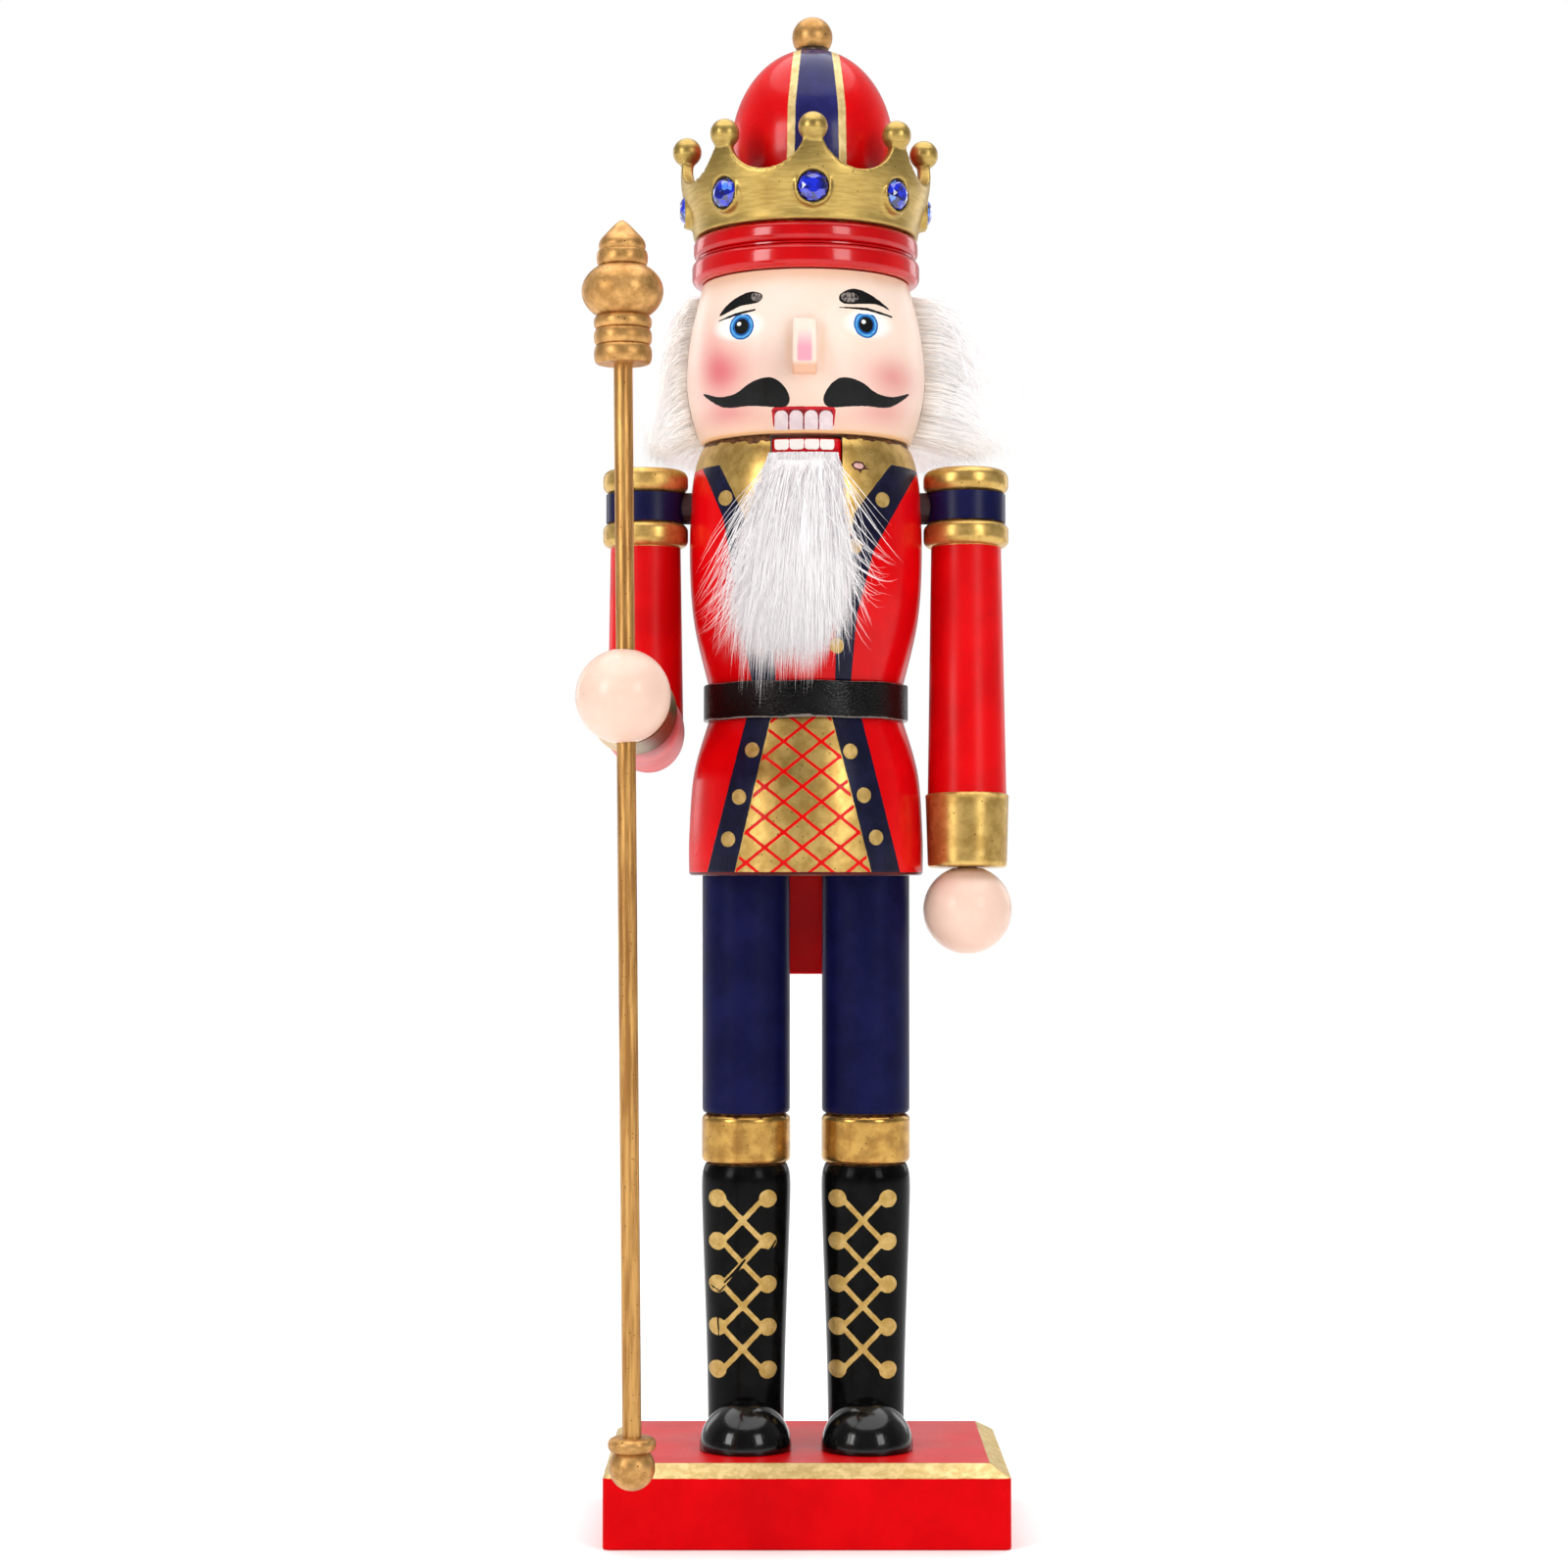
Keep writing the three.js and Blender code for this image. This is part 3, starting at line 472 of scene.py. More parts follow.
PALE_BLUE = Paint((0.13, 0.42, 0.76), (0.06, 0.28, 0.62), 0.3, scale=700)
LIP_RED = Paint((0.62, 0.01, 0.02), (0.45, 0.005, 0.012), 0.24, scale=400)
TOOTH = Paint((0.80, 0.66, 0.67), (0.72, 0.57, 0.59), 0.22, scale=400)
GUM_LINE = Paint((0.28, 0.004, 0.010), (0.16, 0.002, 0.005), 0.3, scale=400)
BARE = Paint((0.55, 0.36, 0.18), (0.42, 0.26, 0.12), 0.7, scale=300, stretch=(1, 1, 0.15))
INK_BLACK = Paint((0.006, 0.006, 0.006), (0.003, 0.003, 0.003), 0.42, scale=300)


def painted(name, base, layers=(), grain=0.012, peel=0.010, chips=None, tint=None, shade_colour=None,
            coat=0.0, shine=0.15):
    """A painted surface: a base paint under layers of (shape, paint), each with a raised edge."""
    g = Graph(name)
    colour, roughness, metal = base.colour(g), base.roughness, base.metal
    if isinstance(shine, tuple):
        shine = g.blend(*shine, g.field("glare"))
    if tint:
        colour = tint(g, colour)
    height = g.math("MULTIPLY", g.noise(320, 4, (1, 1, 0.12)), grain)
    for shape, over in layers:
        mask = g.mask(shape)
        colour = g.mix(colour, over.colour(g), mask)
        roughness = g.blend(roughness, over.roughness, mask)
        metal = g.blend(metal, over.metal, mask) if (metal or over.metal) else 0.0
        height = g.math("ADD", height, g.math("MULTIPLY", mask, 0.035))
    if chips:
        spots = g.specks(chips[1], chips[2])
        colour = g.mix(colour, chips[0], spots)
        height = g.math("SUBTRACT", height, g.math("MULTIPLY", spots, 0.03))
    # Painted shade: an optional dark colour mixed in where a point attribute asks for it.
    if shade_colour:
        colour = g.mix(colour, shade_colour, g.field("painted_shade"))
    # Rougher and smoother patches, where the paint has worn.
    patches = g.span(g.noise(45, 4), 0.3, 0.75, -0.05, 0.07)
    roughness = g.math("ADD", roughness, patches)
    height = g.math("ADD", height, g.math("MULTIPLY", g.noise(1500, 2), peel))
    return g.finish(Base_Color=colour, Roughness=roughness, Metallic=metal, Specular_IOR_Level=shine,
                    Coat_Weight=coat, Coat_Roughness=0.1, Normal=g.bump(height, 1.0))


# Camera --------------------------------------------------------------------------------

def make_camera():
    """The view of a lens of about 74 mm, a little over 0.8 m in front of the figure."""
    lens = bpy.data.cameras.new("camera")
    lens.lens = 73.525
    lens.clip_start = 0.05
    camera = bpy.data.objects.new("camera", lens)
    camera.location = Vector((-5.5, -806, 160)) * MM
    camera.rotation_euler = (math.radians(90 + 1.74), 0, 0)
    bpy.context.scene.collection.objects.link(camera)
    bpy.context.scene.camera = camera


# Base ----------------------------------------------------------------------------------

def make_base():
    """A block with a painted bevel round its top. The bevel's paint has hand-painted edges."""
    width, depth, height = (BASE_HIGH - BASE_LOW)
    bevel_in, bevel_down, corner = 4.7, 2.8, 1.6

    def ring(inset, z, steps=6):
        x, y, r = width / 2 - inset, depth / 2 - inset, max(corner - inset * 0.2, 0.6)
        points = []
        for turn in range(4):
            for k in range(steps + 1):
                a = math.pi / 2 * (turn + k / steps)
                sx, sy = ((1, 1), (-1, 1), (-1, -1), (1, -1))[turn]
                points.append((sx * (x - r) + r * math.cos(a), sy * (y - r) + r * math.sin(a), z))
        return points

    edge = 0.5
    rings = [ring(edge, 0), ring(0.15, 0.15), ring(0, edge)]
    rings += [ring(0, z) for z in np.linspace(2, height - bevel_down - 0.3, 16)]
    rings += [ring(0.12, height - bevel_down + 0.05)]
    rings += [ring(bevel_in * t, height - bevel_down * (1 - t)) for t in np.linspace(0.06, 0.96, 12)]
    rings += [ring(bevel_in + 0.15, height - 0.03)]
    rings += [ring(bevel_in + 1.0 + k, height) for k in np.linspace(0, 24, 40)]
    count = len(rings[0])
    points = [p for r in rings for p in r]
    faces = [list(reversed(range(count)))]
    for i in range(len(rings) - 1):
        for j in range(count):
            k = (j + 1) % count
            faces.append([i * count + j, i * count + k, (i + 1) * count + k, (i + 1) * count + j])
    faces.append(list(range((len(rings) - 1) * count, len(rings) * count)))
    base = mesh_object("base", points, faces)
    cut = base.modifiers.new("fine", "SUBSURF")
    cut.subdivision_type = "SIMPLE"
    cut.levels = 2
    apply_modifiers(base)
    p = points_of(base)
    inset = np.minimum(width / 2 - np.abs(p[:, 0]), depth / 2 - np.abs(p[:, 1]))
    rise = p[:, 2] - (height - bevel_down)
    paint(base, "glare", (p[:, 2] > height - 0.3).astype(float))
    paint(base, "bevel", overlap(rise + 0.15, bevel_in + 0.25 - inset))
    smoothed(base, 25)
    look = painted("base_red", Paint((0.72, 0.0015, 0.004), (0.62, 0.001, 0.003), 0.30, scale=60),
                   [("bevel", PALE_GOLD)], grain=0.03, peel=0.03, shine=(0.03, 0.55))
    done(base, "figure", look, "red_lacquer", "base_block")


# Legs ----------------------------------------------------------------------------------

BOOT_TOP, GARTER_TOP = 89.4, 102.1
LACE_SHIFT = {"left": 1.0, "right": 0.75}  # how far each boot's lacing sits off its middle
CRACKS = [  # in the right boot's laces: the points of each crack, and its widths
    ([(0.6, 66.4), (-1.6, 63.6), (-4.6, 60.6)], [0.5, 0.9, 0.4]),
    ([(-7.8, 59.6), (-5.6, 58.4), (-4.4, 59.8)], [0.5, 0.4, 0.4]),
    ([(-6.2, 52.2), (-5.9, 47.0)], [0.4, 0.4]),
    ([(5.0, 69.0), (6.8, 68.6), (8.2, 70.8)], [0.3, 0.6, 0.4]),
]


def leg_outline():
    bottom, top = LEG_LOW[2], LEG_HIGH[2]
    boot = spline([[9.4, bottom], [9.9, 45], [10.9, 74], [11.1, BOOT_TOP - 4], [10.3, BOOT_TOP - 0.2]], 28)
    garter = band(BOOT_TOP + 0.3, GARTER_TOP - 0.3, 11.1, 1.5)
    trousers = [[10.2, GARTER_TOP], [10.8, GARTER_TOP + 0.35], [11, GARTER_TOP + 1.1], [11, top + 0.25]]
    return boot + [[10.05, BOOT_TOP]] + garter + trousers


def lacing(x, z):
    """Five rows of round studs with crossed laces between them."""
    half = 6.25  # from the middle to a stud
    turn = 4.9  # from the middle to where a lace meets its stud
    pitch, top, stud = 10.6, 81.4, 2.2
    rows = [top - pitch * k for k in range(5)]
    studs = [disc(x, z, (side * half, row), stud) for row in rows for side in (-1, 1)]
    laces = []
    for above, below in zip(rows, rows[1:]):
        for side in (-1, 1):
            ends = [(side * turn, above - 0.2), (-side * turn, below + 0.2)]
            laces.append(stroke(x, z, ends, [1.3, 1.3]))
    return union(*studs, *laces)


def make_legs(look):
    angles = columns(2.2, 6, 80)
    for side, x in (("left", LEG_X), ("right", -LEG_X)):
        leg = turned(f"leg_{side}_painted", leg_outline(), 0.45, angles)
        p = points_of(leg)
        across = p[:, 0] + LACE_SHIFT[side]
        laces = np.where(p[:, 1] < 0, lacing(across, p[:, 2]), FAR)
        if side == "right":
            cracks = union(*(stroke(across, p[:, 2], points, widths) for points, widths in CRACKS))
            laces = overlap(laces, -cracks)
        paint(leg, "boot", BOOT_TOP - p[:, 2])
        garter = overlap(p[:, 2] - BOOT_TOP, GARTER_TOP + 0.1 - p[:, 2])
        paint(leg, "garter", garter)
        # The garter band's top and bottom edges are darkened along a ragged line.
        around = np.arctan2(p[:, 0], -p[:, 1])
        ragged = 0.35 * np.sin(around * 9 + x) + 0.25 * np.sin(around * 23)
        edges = union(p[:, 2] - (GARTER_TOP - 0.55) + ragged,
                      BOOT_TOP + 0.55 - p[:, 2] + ragged * 0.4)
        paint(leg, "stain", overlap(garter, edges))
        paint(leg, "laces", laces)
        moved(leg, shift(x, 0, 0))
        done(smoothed(leg), "figure", look, "navy_paint", f"leg_{side}")


def make_toes(look):
    """Half-round toe caps, hollowed where they meet the boots."""
    for side, x in (("left", LEG_X), ("right", -LEG_X)):
        low, high = extent(f"toe_cap_{side}")
        radius, height = (high[0] - low[0]) / 2, high[2] - low[2]
        edge = [[radius - 0.5, 0], [radius - 0.12, 0.15], [radius, 0.6]]
        cap = turned(f"toe_{side}", edge + arc(0.6, radius, 2, 89, 24, (height - 0.6) / radius), 0.8)
        moved(cap, shift(x, low[1] + radius, low[2] - 0.25))
        combine(cap, [rod(9.7, (x, 0, 0), (x, 0, 60))])
        done(smoothed(cap), "figure", look, "black_lacquer", f"toe_cap_{side}")


# Torso, belt and lever -------------------------------------------------------------------

def torso_outline():
    waist_low, waist_high = BELT_LOW[2] - 0.3, BELT_HIGH[2] + 0.3
    r = TORSO_RADIUS
    rim = [[r - 1.1, TORSO_BOTTOM], [r - 0.35, TORSO_BOTTOM + 0.15], [r - 0.05, TORSO_BOTTOM + 0.6]]
    skirt = spline([[r, TORSO_BOTTOM + 1.2], [r - 0.05, 172], [r - 1.2, 187],
                    [WAIST_RADIUS + 0.3, waist_low]], 30)
    chest = spline([[WAIST_RADIUS + 0.3, waist_high], [r - 1.3, 224.5], [r - 0.15, 239],
                    [r - 0.45, 256], [r - 1.8, 265], [r - 3.7, TORSO_TOP]], 50)
    waist = [[WAIST_RADIUS, waist_low + 0.3], [WAIST_RADIUS, waist_high - 0.3]]
    return rim + skirt + waist + chest + [[r - 4.6, TORSO_TOP + 0.25]]


def lattice(x, z):
    """Crossed diagonal lines."""
    width, height, centre, line = 9.2, 7.4, -1.0, 0.75
    length = math.hypot(1 / width, 1 / height)
    fields = []
    for lean in (1, -1):
        phase = (x - centre) / width + lean * (z - 183.0) / height
        off = np.abs(phase - np.round(phase)) / length
        fields.append(line / 2 - off)
    return union(*fields)


def paint_torso(torso):
    p = points_of(torso)
    x, z = p[:, 0], p[:, 2]
    front = np.where(p[:, 1] < 2, 0.0, FAR)
    skin = np.array(torso_outline())
    buried = np.interp(z, skin[:, 1], skin[:, 0]) - 0.4 - np.hypot(x, p[:, 1])

    collar = z - 262.6
    lapel_left = polygon(x, z, [(-25.9, 262.9), (-21.5, 262.9), (-16, 251), (-8.5, 232), (-7.4, 205),
                                (-12.7, 205), (-15.8, 222.5), (-20.4, 249.1)])
    lapel_right = polygon(x, z, [(21, 262.9), (28.2, 262.9), (16.5, 241), (12.3, 225), (10.6, 205),
                                 (7.0, 205), (7.1, 222.1), (11.7, 249.8)])
    shirt = polygon(x, z, [(-21.5, 264), (21, 264), (11.7, 249.8), (5, 230), (-6.5, 230), (-16, 251)])
    navy_chest = union(lapel_left, lapel_right)
    under = 0.8  # gold reaches this far under the navy
    panel = polygon(x, z, [(-8.1, 203), (5.5, 203), (16.4, 160), (-18.1, 160)])
    wings = polygon(x, z, [(-14.0, 203), (12.8, 203), (23.6, 160), (-25.0, 160)])
    buttons = [(-19.9, 254.2), (18.7, 253.6), (11.9, 241.8), (-11.0, 217.4), (7.4, 217.5),
               (-13.3, 192.1), (-16.5, 180.6), (-19.2, 170.3), (10.7, 191.7), (14.0, 181.0), (17.0, 170.7)]
    studs = union(*(disc(x, z, at, 1.75, 1.08) for at in buttons))
    paint(torso, "navy", overlap(union(navy_chest, overlap(wings, -panel, 201 - z)) + front, 262.7 - z))
    paint(torso, "gold", union(collar, union(shirt, overlap(panel, 201 - z)) + under + front))
    paint(torso, "lattice", overlap(lattice(x, z), panel - 0.2, 201 - z) + front)
    paint(torso, "studs", studs + front)
    paint(torso, "rim", TORSO_BOTTOM + 0.75 - z)
    wound = polygon(x, z, [(10.8, 261.8), (12.0, 262.8), (13.8, 262.6), (14.7, 261.4),
                           (13.6, 260.4), (11.8, 260.6)])
    crack = stroke(x, z, [(13.6, 261.0), (15.6, 260.9), (18.0, 261.4)], [0.5, 0.3, 0.15])
    split = stroke(x, z, [(12.7, 260.9), (13.5, 259.3)], [0.6, 0.2])
    paint(torso, "wound", union(wound, crack, split) + front)
    paint(torso, "bare", wound - 0.42 + front)
    # Along the collar's top edge under the chin the dark brown is painted shade; the patch beside the mouth
    # is chipped paint.
    ragged = 0.22 * np.sin(x * 1.3) + 0.12 * np.sin(x * 3.1 + 1.1) + 0.05 * np.sin(x * 9.1)
    worn_edge = polygon(x, z, [(-21, 270), (-8.6, 270), (-8.6, 267.9), (-12, 267.4),
                               (-17, 268.1), (-21, 268.6)])
    paint(torso, "stain", union(z - (TORSO_TOP - 0.9) + ragged, worn_edge + ragged * 1.5))
    paint(torso, "buried", buried)


def make_torso():
    torso = turned("torso_painted", torso_outline(), 0.42, columns(0.8, 3, 66))
    half = SLOT_WIDTH / 2
    combine(torso, [
        block((-half, -40, SLOT_FLOOR), (half, 40, TORSO_TOP + 5)),
        block((-half, SLOT_BACK_Y, TORSO_BOTTOM - 5), (half, 40, TORSO_TOP + 6)),
    ])
    paint_torso(torso)
    look = painted("torso_paint", RED, [
        ("gold", GOLD), ("navy", INK), ("lattice", RED), ("studs", LACE_GOLD),
        ("rim", Paint((0.10, 0.004, 0.006), (0.06, 0.002, 0.003), 0.3)), ("buried", BARE),
        ("stain", DARK_EDGE), ("wound", Paint((0.10, 0.03, 0.02), (0.04, 0.012, 0.01), 0.7, scale=900)),
        ("bare", Paint((0.72, 0.42, 0.38), (0.50, 0.26, 0.24), 0.7, scale=900)),
    ])
    done(smoothed(torso, 42), "figure", look, "red_lacquer", "torso")


def make_belt():
    """A leatherette strap whose cut ends stop at the lever's slot."""
    inner, outer = WAIST_RADIUS + 0.05, BELT_HIGH[0] + 0.1
    low, high = BELT_LOW[2], BELT_HIGH[2]
    e = 0.35
    outline = [[inner, low], [outer - e, low], [outer - 0.1, low + 0.1], [outer, low + e],
               [outer, high - e], [outer - 0.1, high - 0.1], [outer - e, high], [inner, high], [inner, low]]
    belt = turned("belt_strap", outline, 0.5, np.radians(np.arange(0, 360, 2.0)), ring=True)
    half = SLOT_WIDTH / 2 + 0.4
    combine(belt, [block((-half, 0, low - 5), (half, 40, high + 5))])
    p = points_of(belt)
    ripple = np.sin(np.arctan2(p[:, 0], -p[:, 1]) * 9 + 0.7) * 0.10
    p[:, 2] += ripple
    set_points(belt, p)
    # The leatherette's cut edges show as light lines. At the front the lower line is widened into a painted
    # highlight.
    painted_highlight = np.where((p[:, 1] < 0) & (np.abs(p[:, 0] + 1.5) < 3.2), 0.35, 0.0)
    paint(belt, "cut", union(low + 0.30 + painted_highlight + ripple - p[:, 2], p[:, 2] - (high - 0.12) - ripple))
    g = Graph("leatherette")
    cells = g.node("TexVoronoi", {"Vector": g.place, "Scale": 1100.0}, feature="DISTANCE_TO_EDGE").outputs[0]
    pebble = g.span(cells, 0.0, 0.25)
    cut = g.mask("cut", 0.10, 0.08)
    shade = g.mix((0.002, 0.002, 0.002), (0.007, 0.006, 0.006), g.noise(90, 4))
    colour = g.mix(shade, (0.20, 0.17, 0.15), cut)
    height = g.math("ADD", g.math("MULTIPLY", pebble, 0.03), g.math("MULTIPLY", g.noise(60, 3), 0.25))
    look = g.finish(Base_Color=colour, Roughness=g.span(g.noise(150, 3), 0.3, 0.7, 0.16, 0.34),
                    Specular_IOR_Level=0.18, Normal=g.bump(height, 1.0))
    done(smoothed(belt), "figure", look, "black_leatherette", "belt")


def lever_outline():
    """The lever's side view as [y, z] points: jaw, bridge and tail."""
    top, bottom = LEVER_HIGH[2], LEVER_LOW[2]
    back = SLOT_BACK_Y
    front = spline([[-25.8, top], [-27.4, 263], [-27.8, 252], [-26.6, 240.5]], 18)
    underside = [[-10, 236], [8, 234], [back + 0.4, 231]]
    tail_front = spline([[back + 0.4, 225], [back + 0.6, 190], [back + 2.5, 158], [back + 7, bottom]], 26)
    tail_back = spline([[32.5, bottom + 1], [30.5, 160], [29, 190], [29, 222], [28.5, 250], [25.5, 263]], 36)
    return front + underside + tail_front + tail_back + [[2, top]]


def make_lever():
    """One piece of wood: its front end is the jaw with the lower teeth."""
    to_side = Matrix(((0, 0, 1, -LEVER_WIDTH / 2), (1, 0, 0, 0), (0, 1, 0, 0), (0, 0, 0, 1)))
    lever = extruded("lever", lever_outline(), LEVER_WIDTH, to_side)
    softened(lever, 0.7, 3, 40)
    grid = lever.modifiers.new("grid", "REMESH")
    grid.mode = "VOXEL"
    grid.voxel_size = 0.55 * MM
    apply_modifiers(lever)
    p = points_of(lever)
    curve = np.clip((-12 - p[:, 1]) / 10, 0, 1)
    p[:, 1] += curve * (27.0 - np.sqrt(27.0**2 - p[:, 0] ** 2))
    set_points(lever, p)
    smoothed(lever)
    make_lower_teeth(lever)
    done(lever, "jaw", painted("lever_red", RED, shine=0.05), "red_lacquer", "jaw_lever")


def make_lower_teeth(lever):
    """The painted lower teeth and lip: a thin layer that follows the jaw's front."""
    left, right, bottom, top = -8.0, 8.0, 264.9, LEVER_HIGH[2] - 0.35
    step, proud, deep = 0.16, 0.08, 0.35
    across = np.arange(left, right, step)
    up = np.arange(bottom, top, step)
    bpy.context.view_layer.update()
    tree = BVHTree.FromObject(lever, bpy.context.evaluated_depsgraph_get())
    fronts = []
    for z in up:
        for x in across:
            hit = tree.ray_cast(Vector((x, -40, z)) * MM, Vector((0, 1, 0)))[0]
            fronts.append((x, hit[1] / MM - proud, z))
    rows, count = len(up), len(across)
    points = fronts + [(x, y + deep, z) for x, y, z in fronts]
    back = rows * count
    faces = [[i * count + j, i * count + j + 1, (i + 1) * count + j + 1, (i + 1) * count + j]
             for i in range(rows - 1) for j in range(count - 1)]
    faces += [[back + k for k in reversed(face)] for face in faces]
    rim = list(range(count))
    rim += [i * count + count - 1 for i in range(1, rows)]
    rim += [(rows - 1) * count + j for j in reversed(range(count - 1))]
    rim += [i * count for i in reversed(range(1, rows - 1))]
    faces += [[a, back + a, back + b, b] for a, b in zip(rim, rim[1:] + rim[:1])]
    plate = mesh_object("lower_teeth", points, faces)
    p = points_of(plate)
    x, z = p[:, 0], p[:, 2]
    first, last, low = -7.95, 6.9, 265.4
    pitch = (last - first) / 4
    gap = 0.11  # half the line between two teeth
    teeth = union(*(
        rounded_box(x, z, (first + pitch * k + gap, low),
                    (first + pitch * (k + 1) - gap, top + 0.25), 0.8)
        for k in range(4)))
    paint(plate, "teeth", teeth)
    look = painted("lower_teeth_paint", LIP_RED, [("teeth", WHITE)], coat=0.15)
    plate.data.materials.append(look)
    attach(smoothed(plate), "jaw")


# Head ----------------------------------------------------------------------------------

MOUSTACHE = [(-25.6, 280.8), (-23.6, 278.6), (-19.9, 276.5), (-13.6, 276.3), (-6.5, 275.6), (-4.5, 276.4),
             (-4.4, 278.5), (-6.2, 281.3), (-9.2, 282.9), (-13.6, 282.0), (-17.5, 279.6), (-21.6, 279.3)]
BROWS = [[(-21.4, 299.4), (-18.7, 302.7), (-13.9, 304.7), (-10.8, 303.6), (-11.9, 301.7), (-16.3, 301.2)],
         [(8.1, 303.4), (11.7, 305.3), (16.1, 304.0), (20.7, 300.8), (16.8, 301.8), (9.3, 301.2)]]
LIDS = [[(-21.6, 298.2), (-17.5, 299.2), (-12.7, 299.9)], [(8.1, 300.2), (14.8, 300.3), (21.0, 299.2)]]
EYES = [(-15.9, 296.0), (14.6, 296.3)]
BLUSH = [  # pink spots: middle x and z, spread along x and z, strength
    (-20.4, 284.6, 5.6, 6.6, 0.72), (21.4, 283.8, 5.8, 5.0, 0.60),
    (-19.6, 275.0, 7.0, 3.2, 0.48), (18.8, 275.4, 7.0, 3.2, 0.42),
    (-23.5, 291, 4.2, 9, 0.36), (-10, 286, 7, 6, 0.16), (11, 285, 7, 6, 0.13),
    (-9, 273, 12, 3.4, 0.16), (10, 273, 12, 3.4, 0.16),
]


def head_outline():
    r, low, high = HEAD_RADIUS, HEAD_BOTTOM, HEAD_TOP
    sides = spline([[r - 3.5, low + 0.5], [r - 1, 278], [r, 287], [r - 1.2, 298.5], [r - 4, high]], 60)
    return [[r - 4.3, low], [r - 3.8, low + 0.12], *sides]


def paint_face(head):
    p = points_of(head)
    x, z = p[:, 0], p[:, 2]
    front = np.where(p[:, 1] < 0, 0.0, FAR)
    halves = union(*(polygon(side * x - 0.1, z, curved(MOUSTACHE, 5)) for side in (1, -1)))
    paint(head, "moustache", halves + front)
    brows = union(*(polygon(x, z, curved(brow, 6)) for brow in BROWS))
    paint(head, "brows", brows + front)
    # Pale patches on the brows are painted highlight, the glare on the black, painted like faint wear.
    patches = union(disc(x, z, (-11.9, 303.3), 1.7, 0.8), disc(x, z, (10.6, 303.0), 2.2, 0.6))
    paint(head, "patches", overlap(patches, brows - 0.2) + front)
    paint(head, "lids", union(*(stroke(x, z, lid, (0.25, 0.75, 0.5)) for lid in LIDS)) + front)
    paint(head, "eye_white", union(*(disc(x, z, (ex + side * 0.6, ez + 0.3), 6.0, 0.62)
                                     for side, (ex, ez) in zip((-1, 1), EYES))) + front)
    shown = 299.0 - z
    paint(head, "iris_edge", overlap(union(*(disc(x, z, e, 3.0, 1.12) for e in EYES)), shown) + front)
    paint(head, "iris", overlap(union(*(disc(x, z, e, 2.65, 1.12) for e in EYES)), shown) + front)
    paint(head, "iris_ring", union(*(disc(x, z, e, 2.15, 1.12) for e in EYES)) + front)
    paint(head, "pupil", union(*(disc(x, z, (ex, ez), 1.75, 1.12) for ex, ez in EYES)) + front)
    paint(head, "glint", union(*(disc(x, z, (ex - 0.6, ez + 0.7), 0.55) for ex, ez in EYES)) + front)
    left, right, bottom, top = -8.0, 6.6, 270.6, 275.0
    pitch = (right - left) / 4
    gap = 0.18  # half the line between two teeth
    teeth = union(*(
        rounded_box(x, z, (left + pitch * k + gap, bottom - 4),
                    (left + pitch * (k + 1) - gap, top - 0.15), 1.5)
        for k in range(4)))
    gum = polygon(x, z, [(left - 0.1, bottom + 0.6), (left - 0.55, top), (left, top + 0.75),
                         (right, top + 0.75), (right + 0.55, top), (right + 0.1, bottom + 0.6)])
    paint(head, "gum", gum + front)
    paint(head, "mouth", polygon(x, z, [(left + 0.2, bottom - 0.2), (left + 0.2, top), (right - 0.2, top),
                                        (right - 0.2, bottom - 0.2)]) + front)
    paint(head, "teeth", overlap(teeth, z - bottom + 0.3) + front)
    blush = sum(power * np.exp(-((x - cx) / rx) ** 2 - ((z - cz) / rz) ** 2)
                for cx, cz, rx, rz, power in BLUSH)
    paint(head, "blush", np.where(p[:, 1] < 0, blush, 0))
    # Painted shade: darker under the chin, below the hat band and beside the nose.
    under_chin = np.exp(-((z - HEAD_BOTTOM) / 0.8) ** 2) + 0.30 * np.exp(-((z - HEAD_BOTTOM) / 6.0) ** 2)
    edge = under_chin + 0.5 * np.exp(-((z - HEAD_TOP) / 3.2) ** 2)
    beside_nose = sum(0.30 * np.exp(-((x - cx) / 0.9) ** 2 - ((z - 290.5) / 5.5) ** 2) for cx in (-4.3, 3.9))
    paint(head, "shade", np.where(p[:, 1] < 0, edge + beside_nose, 0))


def make_head():
    head = turned("head", head_outline(), 0.26, columns(0.5, 4, 64))
    paint_face(head)

    def tint(g, colour):
        colour = g.mix(colour, (0.80, 0.47, 0.22), g.field("shade"))
        colour = g.mix(colour, (0.66, 0.11, 0.14), g.field("blush"))
        return g.mix(colour, (0.93, 0.88, 0.84), g.span(g.field("eye_white"), -1.2, 2.2))

    brow_glare = Paint((0.30, 0.26, 0.24), (0.006, 0.006, 0.006), 0.3, scale=1500)
    look = painted("face_paint", SKIN, [
        ("gum", LIP_RED), ("mouth", GUM_LINE), ("teeth", TOOTH),
        ("moustache", INK_BLACK), ("brows", INK_BLACK), ("patches", brow_glare),
        ("iris_edge", BLUE), ("iris", PALE_BLUE), ("iris_ring", BLUE),
        ("pupil", INK_BLACK), ("glint", WHITE), ("lids", INK_BLACK),
    ], tint=tint, coat=0.08, shine=0.14)
    done(smoothed(head), "figure", look, "face_paint", "head_block")


